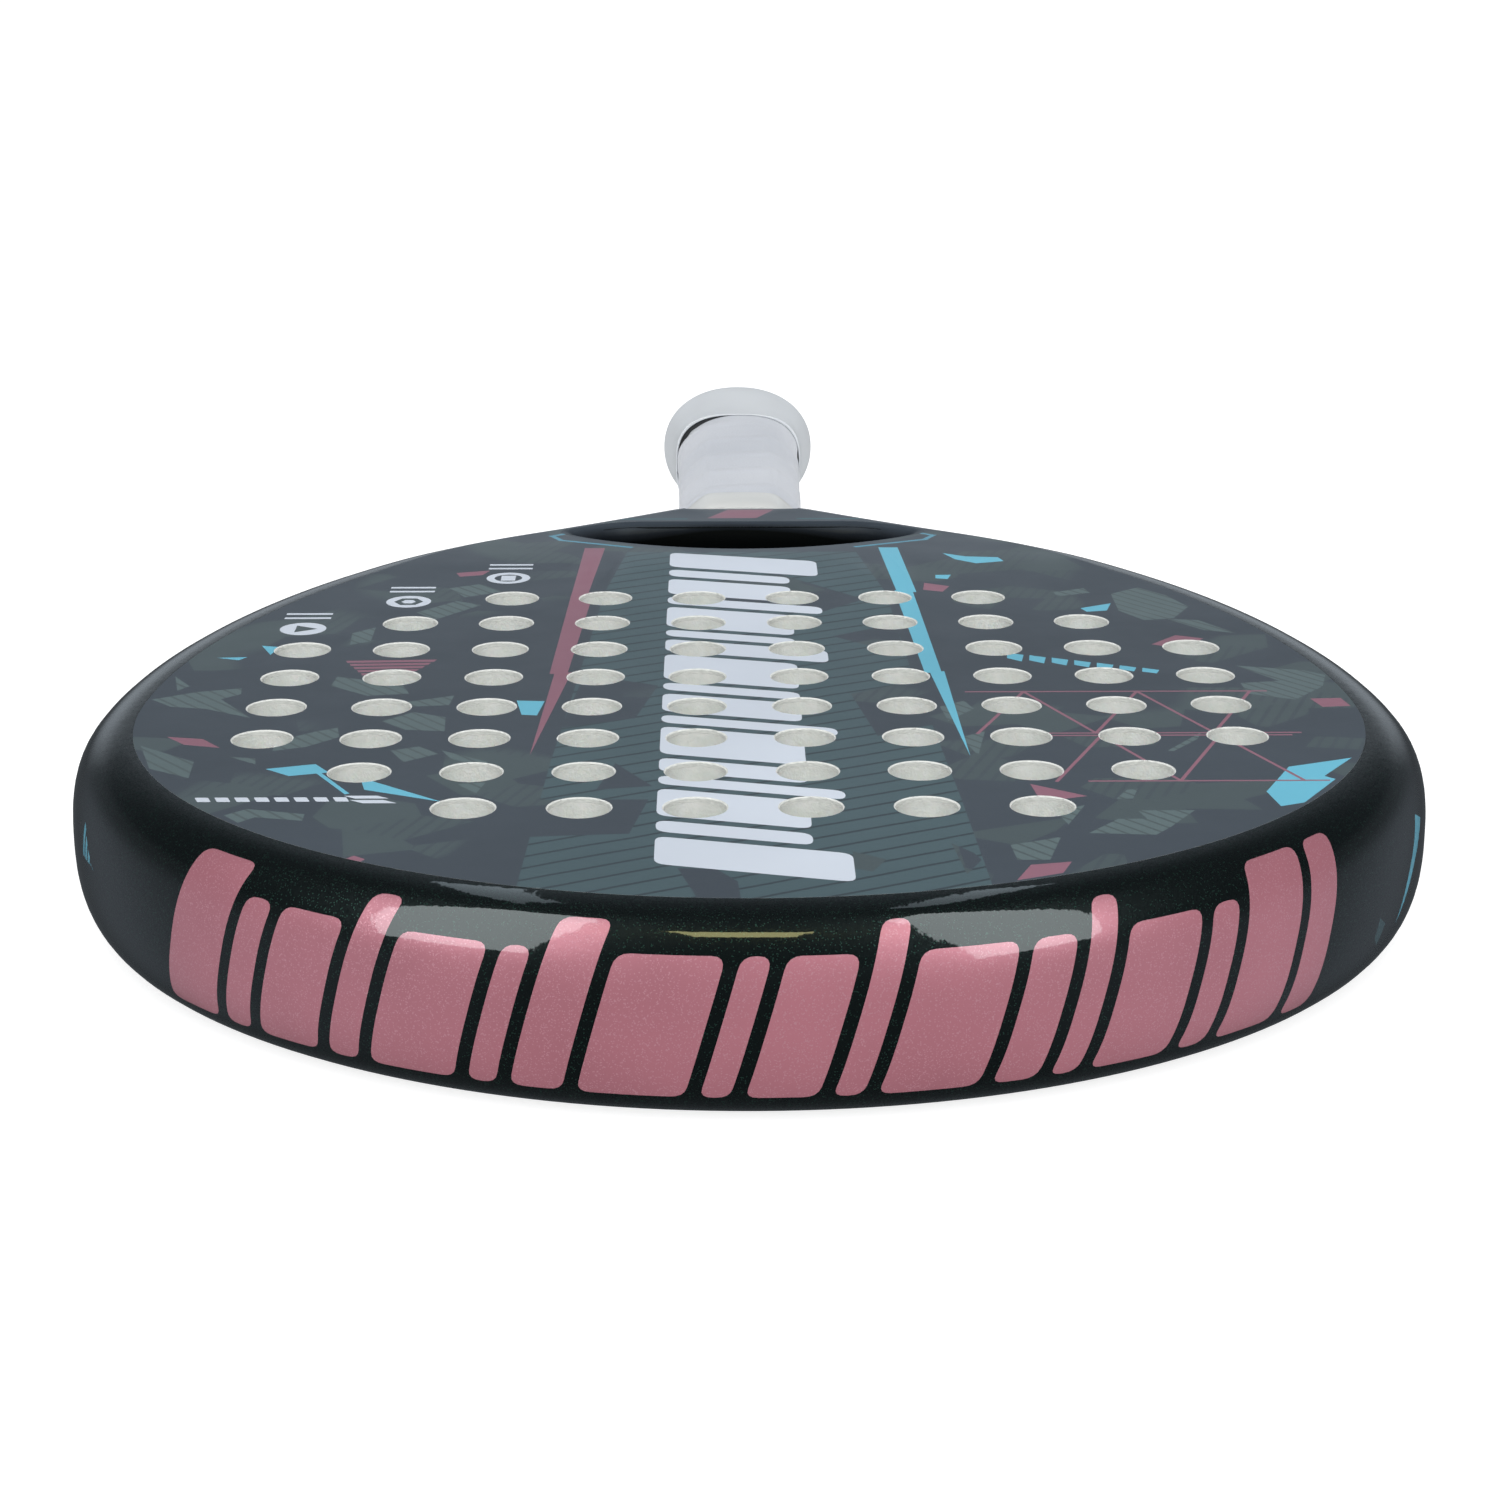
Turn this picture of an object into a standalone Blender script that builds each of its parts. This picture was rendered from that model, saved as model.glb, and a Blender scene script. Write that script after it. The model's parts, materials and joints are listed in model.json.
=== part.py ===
"""A padel racket with its wrist strap, for Blender 4.5.

Run it with: blender --background --python part.py

The racket lies on its back face. +Z points up out of the front face, and +Y runs from the tip of the
head to the butt. The origin is under the middle of the drilled area, on the plane the racket rests on.
Every mesh is drawn about the racket's mid-plane, and the empty "racket" lifts it by half the thickness.
"""

import math

import bmesh
import bpy
from mathutils import Matrix, Vector
from mathutils.geometry import interpolate_bezier

MM = 0.001

# The whole racket
LENGTH = 455 * MM
HEAD_WIDTH = 260 * MM
THICKNESS = 36 * MM
TIP_Y = -130 * MM
BUTT_Y = TIP_Y + LENGTH
HALF_T = THICKNESS / 2
GAP = 0.3 * MM

# Outline of the head: an ellipse round the tip, a fuller curve up the sides, then straight shoulders
WIDEST_Y = TIP_Y + 117.8 * MM
SIDE_LENGTH = 171.7 * MM
SIDE_POWER = 1.87
SHOULDER_Y = 118 * MM
SHOULDER_REACH = 14 * MM
NECK_X = 16.2 * MM
NECK_Y = 176.5 * MM
NECK_PULL = Vector((5 * MM, -1 * MM))
TIP_STEPS, SIDE_STEPS, SHOULDER_STEPS = 14, 9, 7

# The frame tube's section, and how it shrinks from the head to the arms and the handle
HEAD_END_Y, ARM_Y = 100 * MM, 140 * MM
RIM_POWER = 2.6
RIM_STEPS = 6
TUBE_WALL = 1.4 * MM
TIP_INSET, SIDE_INSET, ARM_INSET, LEG_INSET = 12.5 * MM, 12 * MM, 6.5 * MM, 4.5 * MM
HEAD_TUBE, ARM_TUBE, NECK_TUBE, LEG_TUBE = 16 * MM, 11 * MM, 10 * MM, 6 * MM
NECK_HALF_T = 14.6 * MM
LEG_X, LEG_HALF_T = 11.5 * MM, 8.7 * MM
LEG_Y = 178.4 * MM
HANDLE_END_Y = 308 * MM

# Faces, core and the drilled holes
FACE_T = 1 * MM
FACE_END_Y = 171.5 * MM
HOLE_PITCH = 20.42 * MM
HOLE_R = 5.8 * MM
HOLE_SIDES = 10
HOLES_IN_ROW = (6, 8, 10, 10, 10, 10, 8, 6)

# Throat opening
OPENING_NEAR_Y, OPENING_FAR_Y = 119 * MM, 151.5 * MM
OPENING_R = 50 * MM
BRIDGE_W = 13 * MM
NECK_CUTS = [y * MM for y in (100, 113, 126, 139, 152, 165)]

# Handle: half-width and half-thickness at the neck end and at the butt end
GRIP_START_Y, GRIP_END_Y = 179 * MM, 286.2 * MM
SLEEVE_INNER, SLEEVE_OUTER = (12.1 * MM, 9.3 * MM), (13.2 * MM, 10.4 * MM)
SLEEVE_BUTT_OUTER = (13.9 * MM, 10.7 * MM)
SKIRT_INNER, SKIRT_OUTER = (14.2 * MM, 11 * MM), (15.2 * MM, 11.8 * MM)
SKIRT_START_Y = 270 * MM
BASE_GRIP_INNER, BASE_GRIP_OUTER = (13.5 * MM, 10.7 * MM), (15 * MM, 12.2 * MM)
BASE_GRIP_MID_INNER, BASE_GRIP_MID_OUTER = (14.2 * MM, 11 * MM), (15.9 * MM, 12.8 * MM)
BASE_GRIP_BUTT_INNER, BASE_GRIP_BUTT_OUTER = (15.5 * MM, 12.9 * MM), (16.6 * MM, 13.6 * MM)
OVERGRIP_T = 0.5 * MM
TAPE_END_Y = 193 * MM
TAPE_T = 0.5 * MM
HANDLE_POWER = 4.5
HANDLE_SIDES = 24

# Butt cap: (distance from the butt end, half-width, half-thickness, power), from the collar to the butt
CAP_STATIONS = (
    (38.5 * MM, 15.2 * MM, 11.8 * MM, 4.5),
    (38.4 * MM, 17.4 * MM, 14.4 * MM, 3),
    (30 * MM, 18.6 * MM, 15.4 * MM, 2.6),
    (22 * MM, 20.2 * MM, 16.8 * MM, 2.3),
    (15.5 * MM, 21.4 * MM, 17.8 * MM, 2.15),
    (11 * MM, 21.2 * MM, 17.1 * MM, 2.15),
    (5 * MM, 20.4 * MM, 15.8 * MM, 2.15),
    (1.5 * MM, 18.9 * MM, 14.7 * MM, 2.15),
    (0, 16.8 * MM, 13.2 * MM, 2.15),
)
CAP_FLOOR = 5 * MM
CAVITY_R = 8 * MM
BADGE_R, BADGE_T = 11.7 * MM, 1.2 * MM
CORD_HOLE_R = 3.6 * MM

# Staples that hold the cap on
STAPLE_Y = 278 * MM
STAPLE_HALF_W = 4 * MM
STAPLE_R = 0.4 * MM
STAPLE_TOP_Z, STAPLE_TIP_Z = 12.35 * MM, 6.6 * MM
STAPLE_HOLE_R = 0.75 * MM

# Wrist strap
CORD_R = 2 * MM
STOPPER_R, STOPPER_NECK_R = 5.5 * MM, 2.9 * MM
STRAND_X = 4 * MM
LOOP_R = 16 * MM
PIVOT_Y = BUTT_Y + 3.9 * MM
CORD_TURN_R = 2.3 * MM
DROOP_END_Y, PARALLEL_END_Y = 360 * MM, 396 * MM
LOOP_CENTRE_Y = 431 * MM
CORD_LEVEL_Z, CORD_FLOOR_Z = 5.2 * MM, 2.4 * MM
SLIDER_Y, SLIDER_LENGTH = 362 * MM, 11 * MM
SLIDER_W, SLIDER_T = 18 * MM, 9.6 * MM
SLIDER_SLOT_W, SLIDER_SLOT_T = 12.8 * MM, 4.8 * MM

MATERIALS = {
    "gloss_rim": ((0.010, 0.018, 0.017), 0.12, 0.3),
    "satin_face": ((0.045, 0.062, 0.078), 0.45, 0.0),
    "eva_foam": ((0.72, 0.72, 0.64), 0.8, 0.0),
    "handle_foam": ((0.10, 0.10, 0.11), 0.9, 0.0),
    "handle_laminate": ((0.02, 0.02, 0.02), 0.4, 0.0),
    "white_plastic": ((0.72, 0.74, 0.76), 0.4, 0.0),
    "base_grip": ((0.02, 0.02, 0.022), 0.8, 0.0),
    "overgrip": ((0.62, 0.65, 0.70), 0.6, 0.0),
    "tape": ((0.76, 0.76, 0.73), 0.35, 0.0),
    "staple_steel": ((0.60, 0.60, 0.62), 0.3, 1.0),
    "black_cord": ((0.015, 0.016, 0.018), 0.8, 0.0),
    "black_plastic": ((0.02, 0.02, 0.022), 0.4, 0.0),
}


def clear_scene():
    for obj in list(bpy.data.objects):
        bpy.data.objects.remove(obj)


def make_collection(name):
    collection = bpy.data.collections.new(name)
    bpy.context.scene.collection.children.link(collection)
    return collection


def make_material(name):
    colour, roughness, metallic = MATERIALS[name]
    material = bpy.data.materials.new(name)
    material.use_nodes = True
    shader = material.node_tree.nodes["Principled BSDF"]
    shader.inputs["Base Color"].default_value = (*colour, 1)
    shader.inputs["Roughness"].default_value = roughness
    shader.inputs["Metallic"].default_value = metallic
    return material


def add_object(name, data, collection, parent, material=None):
    obj = bpy.data.objects.new(name, data)
    collection.objects.link(obj)
    obj.parent = parent
    if material:
        data.materials.append(material)
    return obj


def mesh_from(bm, name):
    bmesh.ops.recalc_face_normals(bm, faces=bm.faces)
    mesh = bpy.data.meshes.new(name)
    bm.to_mesh(mesh)
    bm.free()
    mesh.shade_smooth()
    mesh.set_sharp_from_angle(angle=math.radians(35))
    return mesh


# ---- Curves in plan ----


def blend(a, b, t):
    """Runs smoothly from a at t = 0 to b at t = 1, and stays there outside that range."""
    t = min(1, max(0, t))
    return a + (b - a) * t * t * (3 - 2 * t)


def side_x(y):
    """Half-width of the head at y, between its widest line and the shoulder."""
    u = (y - WIDEST_Y) / SIDE_LENGTH
    return HEAD_WIDTH / 2 * (1 - u**SIDE_POWER) ** (1 / SIDE_POWER)


def outer_edge():
    """The rim's outline at mid-thickness on the +X side, from the tip down one leg of the handle."""
    points = []
    for i in range(TIP_STEPS):
        angle = math.pi / 2 * i / TIP_STEPS
        reach = WIDEST_Y - TIP_Y
        points.append(Vector((HEAD_WIDTH / 2 * math.sin(angle), WIDEST_Y - reach * math.cos(angle))))
    for i in range(SIDE_STEPS):
        y = WIDEST_Y + (SHOULDER_Y - WIDEST_Y) * i / SIDE_STEPS
        points.append(Vector((side_x(y), y)))
    shoulder = Vector((side_x(SHOULDER_Y), SHOULDER_Y))
    step = 1 * MM
    slope = (shoulder - Vector((side_x(SHOULDER_Y - step), SHOULDER_Y - step))).normalized()
    neck = Vector((NECK_X, NECK_Y))
    curve = interpolate_bezier(
        shoulder, shoulder + slope * SHOULDER_REACH, neck + NECK_PULL, neck, SHOULDER_STEPS
    )
    points += [point.to_2d() for point in curve]
    points += [Vector((LEG_X, LEG_Y)), Vector((LEG_X, HANDLE_END_Y))]
    return points


def inward(points):
    """The unit normal at each point of the +X outline, pointing into the racket."""
    normals = []
    for i in range(len(points)):
        before = points[i - 1] if i else Vector((-points[1].x, points[1].y))
        after = points[min(i + 1, len(points) - 1)]
        along = (after - before).normalized()
        normals.append(Vector((-along.y, along.x)))
    return normals


def in_handle(y):
    return y > NECK_Y + GAP


def half_thickness(y):
    """Half the racket's thickness at y: it is full in the head and thins through the throat."""
    if in_handle(y):
        return LEG_HALF_T
    return blend(HALF_T, NECK_HALF_T, (y - HEAD_END_Y) / (NECK_Y - HEAD_END_Y))


def rim_inset(y):
    """How far inside the outline the rim's rounding ends and the flat face begins."""
    if in_handle(y):
        return LEG_INSET
    if y > HEAD_END_Y:
        return blend(SIDE_INSET, ARM_INSET, (y - HEAD_END_Y) / (ARM_Y - HEAD_END_Y))
    return blend(TIP_INSET, SIDE_INSET, (y - TIP_Y) / (WIDEST_Y - TIP_Y))


def tube_width(y):
    if in_handle(y):
        return LEG_TUBE
    if y > ARM_Y:
        return blend(ARM_TUBE, NECK_TUBE, (y - ARM_Y) / (NECK_Y - ARM_Y))
    return blend(HEAD_TUBE, ARM_TUBE, (y - HEAD_END_Y) / (ARM_Y - HEAD_END_Y))


def offset_edge(depth):
    """The +X outline moved into the racket by depth(y) at each point."""
    points = outer_edge()
    return [p + n * depth(p.y) for p, n in zip(points, inward(points))]


def between(edge, low_y, high_y):
    """The part of a +X edge between two heights, with its ends cut exactly there."""
    cut = []
    for a, b in zip(edge, edge[1:]):
        for y in (low_y, high_y):
            if min(a.y, b.y) < y < max(a.y, b.y):
                cut.append(a.lerp(b, (y - a.y) / (b.y - a.y)))
    inside = [p for p in edge if low_y < p.y < high_y]
    return sorted(cut + inside, key=lambda p: p.y)


def mirrored(points):
    return [Vector((-p.x, p.y)) for p in reversed(points)]


def arc_to_edge(radius, edge, steps):
    """Points of a bridge arc from x = 0 out to where it meets a +X edge, and the height it meets it at."""
    centre_y = OPENING_NEAR_Y + OPENING_R
    best = None
    for a, b in zip(edge, edge[1:]):
        for i in range(20):
            p = a.lerp(b, i / 20)
            error = abs((p - Vector((0, centre_y))).length - radius)
            if SHOULDER_Y / 2 < p.y < OPENING_FAR_Y and (best is None or error < best[0]):
                best = (error, p)
    meet = best[1]
    end = math.atan2(meet.x, centre_y - meet.y)
    arc = [
        Vector((radius * math.sin(end * i / steps), centre_y - radius * math.cos(end * i / steps)))
        for i in range(steps)
    ]
    return arc + [meet], meet.y


# ---- Flat pieces, drawn as filled 2D curves ----


def hole_centres():
    rows = len(HOLES_IN_ROW)
    for row, count in enumerate(HOLES_IN_ROW):
        for column in range(count):
            x = (column - (count - 1) / 2) * HOLE_PITCH
            y = (row - (rows - 1) / 2) * HOLE_PITCH
            yield x, y


def circle_points(x, y, radius, sides):
    angles = [2 * math.pi * i / sides for i in range(sides)]
    return [Vector((x + radius * math.cos(a), y + radius * math.sin(a))) for a in angles]


def flat_mesh(name, outlines, thickness):
    """A plate about z = 0. The first outline is its edge and the others are cut out of it."""
    curve = bpy.data.curves.new(name, "CURVE")
    curve.dimensions = "2D"
    curve.fill_mode = "BOTH"
    curve.extrude = thickness / 2
    for outline in outlines:
        spline = curve.splines.new("POLY")
        spline.points.add(len(outline) - 1)
        for point, place in zip(spline.points, outline):
            point.co = (place.x, place.y, 0, 1)
        spline.use_cyclic_u = True
    holder = bpy.data.objects.new(name + "_outline", curve)
    bpy.context.scene.collection.objects.link(holder)
    graph = bpy.context.evaluated_depsgraph_get()
    mesh = bpy.data.meshes.new_from_object(holder.evaluated_get(graph))
    bpy.data.objects.remove(holder)
    bm = bmesh.new()
    bm.from_mesh(mesh)
    bpy.data.meshes.remove(mesh)
    bmesh.ops.remove_doubles(bm, verts=bm.verts, dist=0.001 * MM)
    return bm


def follow_neck(bm):
    """Thins a plate drawn at full thickness so that it follows the throat down to the neck."""
    for y in NECK_CUTS:
        everything = bm.verts[:] + bm.edges[:] + bm.faces[:]
        bmesh.ops.bisect_plane(bm, geom=everything, plane_co=(0, y, 0), plane_no=(0, 1, 0))
    bmesh.ops.triangulate(bm, faces=bm.faces)
    for vert in bm.verts:
        vert.co.z *= half_thickness(vert.co.y) / HALF_T


def opening_outline():
    """The throat opening: the bridge's arc, the arms' inner sides and the neck's straight edge."""
    edge = offset_edge(tube_width)
    arc, meet_y = arc_to_edge(OPENING_R, edge, 8)
    side = between(edge, meet_y + 1 * MM, OPENING_FAR_Y)
    right = arc + side
    return right + mirrored(right)[:-1]


def face_outlines():
    flat_edge = offset_edge(lambda y: rim_inset(y) + GAP)
    right = [flat_edge[0]] + between(flat_edge, flat_edge[0].y, FACE_END_Y)
    outlines = [right + mirrored(right)[:-1], opening_outline()]
    for x, y in hole_centres():
        outlines.append(circle_points(x, y, HOLE_R, HOLE_SIDES))
    return outlines


def core_outlines():
    edge = offset_edge(lambda y: tube_width(y) + GAP)
    arc, meet_y = arc_to_edge(OPENING_R + BRIDGE_W + GAP, edge, 6)
    side = [edge[0]] + between(edge, edge[0].y, meet_y - 1 * MM)
    right = side + arc[::-1]
    outlines = [right + mirrored(right)[1:-1]]
    for x, y in hole_centres():
        outlines.append(circle_points(x, y, HOLE_R, HOLE_SIDES))
    return outlines


def bridge_outline():
    edge = offset_edge(lambda y: tube_width(y) + GAP)
    near, near_y = arc_to_edge(OPENING_R + BRIDGE_W, edge, 6)
    far, far_y = arc_to_edge(OPENING_R, edge, 8)
    side = between(edge, near_y + 1 * MM, far_y - 1 * MM)
    right = near + side + far[::-1]
    return right + mirrored(right)[1:-1]


def wedge_outline():
    edge = offset_edge(lambda y: tube_width(y) + GAP)
    right = between(edge, OPENING_FAR_Y, LEG_Y - 1 * MM)
    return right + mirrored(right)


def build_face(name, side, collection, parent, material):
    """side is 1 for the front face and -1 for the back face."""
    bm = flat_mesh(name, face_outlines(), FACE_T)
    bmesh.ops.translate(bm, verts=bm.verts, vec=(0, 0, side * (HALF_T - FACE_T / 2)))
    follow_neck(bm)
    return add_object(name, mesh_from(bm, name), collection, parent, material)


def build_inside_plate(name, outlines, collection, parent, material):
    """A piece that fills the space between the two faces."""
    bm = flat_mesh(name, outlines, 2 * (HALF_T - FACE_T - GAP))
    follow_neck(bm)
    return add_object(name, mesh_from(bm, name), collection, parent, material)


# ---- Lofted and swept pieces ----


def loft(bm, rings, closed_start, closed_end):
    """Skins successive rings of points and returns the first and last rings as vertices."""
    made = [[bm.verts.new(point) for point in ring] for ring in rings]
    for a, b in zip(made, made[1:]):
        for i in range(len(a)):
            j = (i + 1) % len(a)
            bm.faces.new((a[i], a[j], b[j], b[i]))
    if closed_start:
        bm.faces.new(made[0])
    if closed_end:
        bm.faces.new(made[-1])
    return made[0], made[-1]


def join_rings(bm, outer, inner):
    for i in range(len(outer)):
        j = (i + 1) % len(outer)
        bm.faces.new((outer[i], outer[j], inner[j], inner[i]))


def tube_section(y, wall):
    """(inset, z) round the tube's outer surface at y, or round its hollow if the wall is above zero."""
    inset, width = rim_inset(y), tube_width(y)
    land = half_thickness(y) * (1 - (FACE_T + GAP) / HALF_T) - wall
    crest = land if wall else half_thickness(y)
    upper = []
    for i in range(RIM_STEPS + 1):
        angle = math.pi / 2 * i / RIM_STEPS
        along = math.cos(angle) ** (2 / RIM_POWER)
        across = math.sin(angle) ** (2 / RIM_POWER)
        upper.append((wall + (inset - wall) * (1 - along), crest * across))
    land_start = (inset + width) / 2 if wall else inset
    upper += [(land_start, land), (width - wall, land)]
    lower = [(i, -z) for i, z in reversed(upper[1:])]
    return upper + lower


def build_frame_tube(collection, parent, material):
    """One hollow tube bent like a hairpin: round the head, down the arms and into the handle."""
    points = outer_edge()
    normals = inward(points)
    bm = bmesh.new()
    ends = []
    for wall in (0, TUBE_WALL):
        rings = []
        for point, normal in zip(points, normals):
            section = tube_section(point.y, wall)
            rings.append([(*(point + normal * i), z) for i, z in section])
        ends.append(loft(bm, rings, False, False)[1])
    join_rings(bm, *ends)
    tube = add_object("frame_tube", mesh_from(bm, "frame_tube"), collection, parent, material)
    mirror = tube.modifiers.new("other_side", "MIRROR")
    mirror.merge_threshold = 0.01 * MM
    return tube


def oval(y, size, power, sides=HANDLE_SIDES):
    """A superellipse across the handle's axis at y."""
    ring = []
    for i in range(sides):
        angle = 2 * math.pi * (i + 0.5) / sides
        c, s = math.cos(angle), math.sin(angle)
        x = size[0] * math.copysign(abs(c) ** (2 / power), c)
        z = size[1] * math.copysign(abs(s) ** (2 / power), s)
        ring.append((x, y, z))
    return ring


def build_sleeve(name, stations, collection, parent, material):
    """A tube round the handle. Each station is (y, inner size, outer size)."""
    bm = bmesh.new()
    inner = loft(bm, [oval(y, size, HANDLE_POWER) for y, size, _ in stations], False, False)
    outer = loft(bm, [oval(y, size, HANDLE_POWER) for y, _, size in stations], False, False)
    join_rings(bm, outer[0], inner[0])
    join_rings(bm, outer[1], inner[1])
    return add_object(name, mesh_from(bm, name), collection, parent, material)


def grown(size, by):
    return (size[0] + by, size[1] + by)


def build_handle(collection, parent, materials):
    core_x = LEG_X - LEG_TUBE - GAP
    outline = [
        Vector((core_x, LEG_Y)),
        Vector((core_x, HANDLE_END_Y)),
        Vector((-core_x, HANDLE_END_Y)),
        Vector((-core_x, LEG_Y)),
    ]
    bm = flat_mesh("handle_core", [outline], 2 * (LEG_HALF_T - FACE_T))
    core = add_object(
        "handle_core", mesh_from(bm, "handle_core"), collection, parent, materials["handle_foam"]
    )
    sleeve = build_sleeve(
        "handle_sleeve",
        [
            (GRIP_START_Y, SLEEVE_INNER, SLEEVE_OUTER),
            (HANDLE_END_Y, SLEEVE_INNER, SLEEVE_BUTT_OUTER),
        ],
        collection,
        parent,
        materials["handle_laminate"],
    )
    base = [
        (GRIP_START_Y, BASE_GRIP_INNER, BASE_GRIP_OUTER),
        (SKIRT_START_Y - 6 * MM, BASE_GRIP_MID_INNER, BASE_GRIP_MID_OUTER),
        (SKIRT_START_Y - 1 * MM, BASE_GRIP_BUTT_INNER, BASE_GRIP_BUTT_OUTER),
        (GRIP_END_Y, BASE_GRIP_BUTT_INNER, BASE_GRIP_BUTT_OUTER),
    ]
    build_sleeve("base_grip", base, collection, parent, materials["base_grip"])
    over = [(y, grown(size, GAP), grown(size, GAP + OVERGRIP_T)) for y, _, size in base]
    build_sleeve("overgrip", over, collection, parent, materials["overgrip"])
    tape_inner = grown(over[0][2], GAP + 0.1 * MM)
    tape = [(y, tape_inner, grown(tape_inner, TAPE_T)) for y in (GRIP_START_Y, TAPE_END_Y)]
    build_sleeve("finishing_tape", tape, collection, parent, materials["tape"])
    return core, sleeve


def cylinder_along_y(bm, x, y0, y1, z, radius, sides=24):
    turn = Matrix.Rotation(-math.pi / 2, 4, "X")
    place = Matrix.Translation((x, (y0 + y1) / 2, z)) @ turn
    bmesh.ops.create_cone(
        bm, cap_ends=True, segments=sides, radius1=radius, radius2=radius, depth=y1 - y0, matrix=place
    )


def cut(obj, cutter):
    modifier = obj.modifiers.new(cutter.name, "BOOLEAN")
    modifier.operation = "DIFFERENCE"
    modifier.object = cutter


def make_cutter(name, bm, collection, parent):
    cutter = add_object(name, mesh_from(bm, name), collection, parent)
    cutter.hide_render = True
    cutter.display_type = "WIRE"
    return cutter


def build_butt_cap(collection, cutters, parent, material):
    bm = bmesh.new()
    rings = [oval(SKIRT_START_Y, SKIRT_OUTER, HANDLE_POWER)]
    rings += [oval(BUTT_Y - back, (a, b), power) for back, a, b, power in CAP_STATIONS]
    loft(bm, rings, True, True)
    cap = add_object("butt_cap", mesh_from(bm, "butt_cap"), collection, parent, material)

    pocket_end = HANDLE_END_Y + GAP
    bm = bmesh.new()
    pocket = [oval(y, SKIRT_INNER, HANDLE_POWER) for y in (SKIRT_START_Y - 2 * MM, pocket_end)]
    loft(bm, pocket, True, True)
    cut(cap, make_cutter("cap_pocket", bm, cutters, parent))
    for name, y0, y1, radius in (
        ("cap_cavity", pocket_end - 1 * MM, BUTT_Y - CAP_FLOOR, CAVITY_R),
        ("cap_cord_hole", BUTT_Y - CAP_FLOOR - 1 * MM, BUTT_Y + 1 * MM, CORD_HOLE_R),
        ("cap_badge_recess", BUTT_Y - BADGE_T - GAP, BUTT_Y + 1 * MM, BADGE_R + GAP),
    ):
        bm = bmesh.new()
        cylinder_along_y(bm, 0, y0, y1, 0, radius)
        cut(cap, make_cutter(name, bm, cutters, parent))
    return cap


def build_cap_badge(collection, parent, material):
    """The disc set into the cap's end, with the cord's hole in its middle."""
    outlines = [circle_points(0, 0, BADGE_R, 24), circle_points(0, 0, CORD_HOLE_R, 16)]
    bm = flat_mesh("cap_badge", outlines, BADGE_T)
    badge = add_object("cap_badge", mesh_from(bm, "cap_badge"), collection, parent, material)
    badge.location = (0, BUTT_Y - BADGE_T / 2, 0)
    badge.rotation_euler = (math.pi / 2, 0, 0)


def build_cord(name, points, radius, cyclic, collection, parent, material):
    curve = bpy.data.curves.new(name, "CURVE")
    curve.dimensions = "3D"
    curve.bevel_depth = radius
    curve.bevel_resolution = 2
    curve.use_fill_caps = not cyclic
    spline = curve.splines.new("POLY")
    spline.points.add(len(points) - 1)
    for point, place in zip(spline.points, points):
        point.co = (*place, 1)
    spline.use_cyclic_u = cyclic
    return add_object(name, curve, collection, parent, material)


def build_staples(collection, cutters, parent, material, stapled):
    """Two staples, one in each broad side, through the cap's skirt and the sleeve into the foam."""
    bm = bmesh.new()
    for name, side in (("cap_staple_front", 1), ("cap_staple_back", -1)):
        corners = [(-1, STAPLE_TIP_Z), (-1, STAPLE_TOP_Z), (1, STAPLE_TOP_Z), (1, STAPLE_TIP_Z)]
        points = [(x * STAPLE_HALF_W, STAPLE_Y, z * side) for x, z in corners]
        build_cord(name, points, STAPLE_R, False, collection, parent, material)
        for x in (-STAPLE_HALF_W, STAPLE_HALF_W):
            depth = 8 * MM
            place = Matrix.Translation((x, STAPLE_Y, side * (STAPLE_TIP_Z - GAP + depth / 2)))
            bmesh.ops.create_cone(
                bm,
                cap_ends=True,
                segments=8,
                radius1=STAPLE_HOLE_R,
                radius2=STAPLE_HOLE_R,
                depth=depth,
                matrix=place,
            )
    cutter = make_cutter("staple_holes", bm, cutters, parent)
    for piece in stapled:
        cut(piece, cutter)


# ---- Wrist strap ----


def build_cord_stopper(collection, parent, material):
    """The bead crimped on the cord's ends inside the cap, with its neck out through the hole."""
    bead_start = HANDLE_END_Y + 2.5 * MM
    bead_end = BUTT_Y - CAP_FLOOR - 2 * MM
    neck_end = PIVOT_Y - CORD_R - GAP
    profile = [
        (0, neck_end),
        (STOPPER_NECK_R, neck_end),
        (STOPPER_NECK_R, bead_end),
        (STOPPER_R - 1 * MM, bead_end),
        (STOPPER_R, bead_end - 1 * MM),
        (STOPPER_R, bead_start + 1 * MM),
        (STOPPER_R - 1 * MM, bead_start),
        (0, bead_start),
    ]
    bm = bmesh.new()
    verts = [bm.verts.new((radius, 0, along)) for radius, along in profile]
    for a, b in zip(verts, verts[1:]):
        bm.edges.new((a, b))
    mesh = bpy.data.meshes.new("cord_stopper")
    bm.to_mesh(mesh)
    bm.free()
    stopper = add_object("cord_stopper", mesh, collection, parent, material)
    stopper.rotation_euler = (-math.pi / 2, 0, 0)
    screw = stopper.modifiers.new("turned", "SCREW")
    screw.steps = screw.render_steps = 16
    screw.use_merge_vertices = True
    screw.merge_threshold = 0.01 * MM


def cord_height(y):
    """Height of the cord's centre over the mid-plane: it droops to the table, then lies along it."""
    drooped = blend(0, CORD_LEVEL_Z - HALF_T, (y - PIVOT_Y) / (DROOP_END_Y - PIVOT_Y))
    return blend(drooped, CORD_FLOOR_Z - HALF_T, (y - PARALLEL_END_Y) / (2 * LOOP_R))


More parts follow.
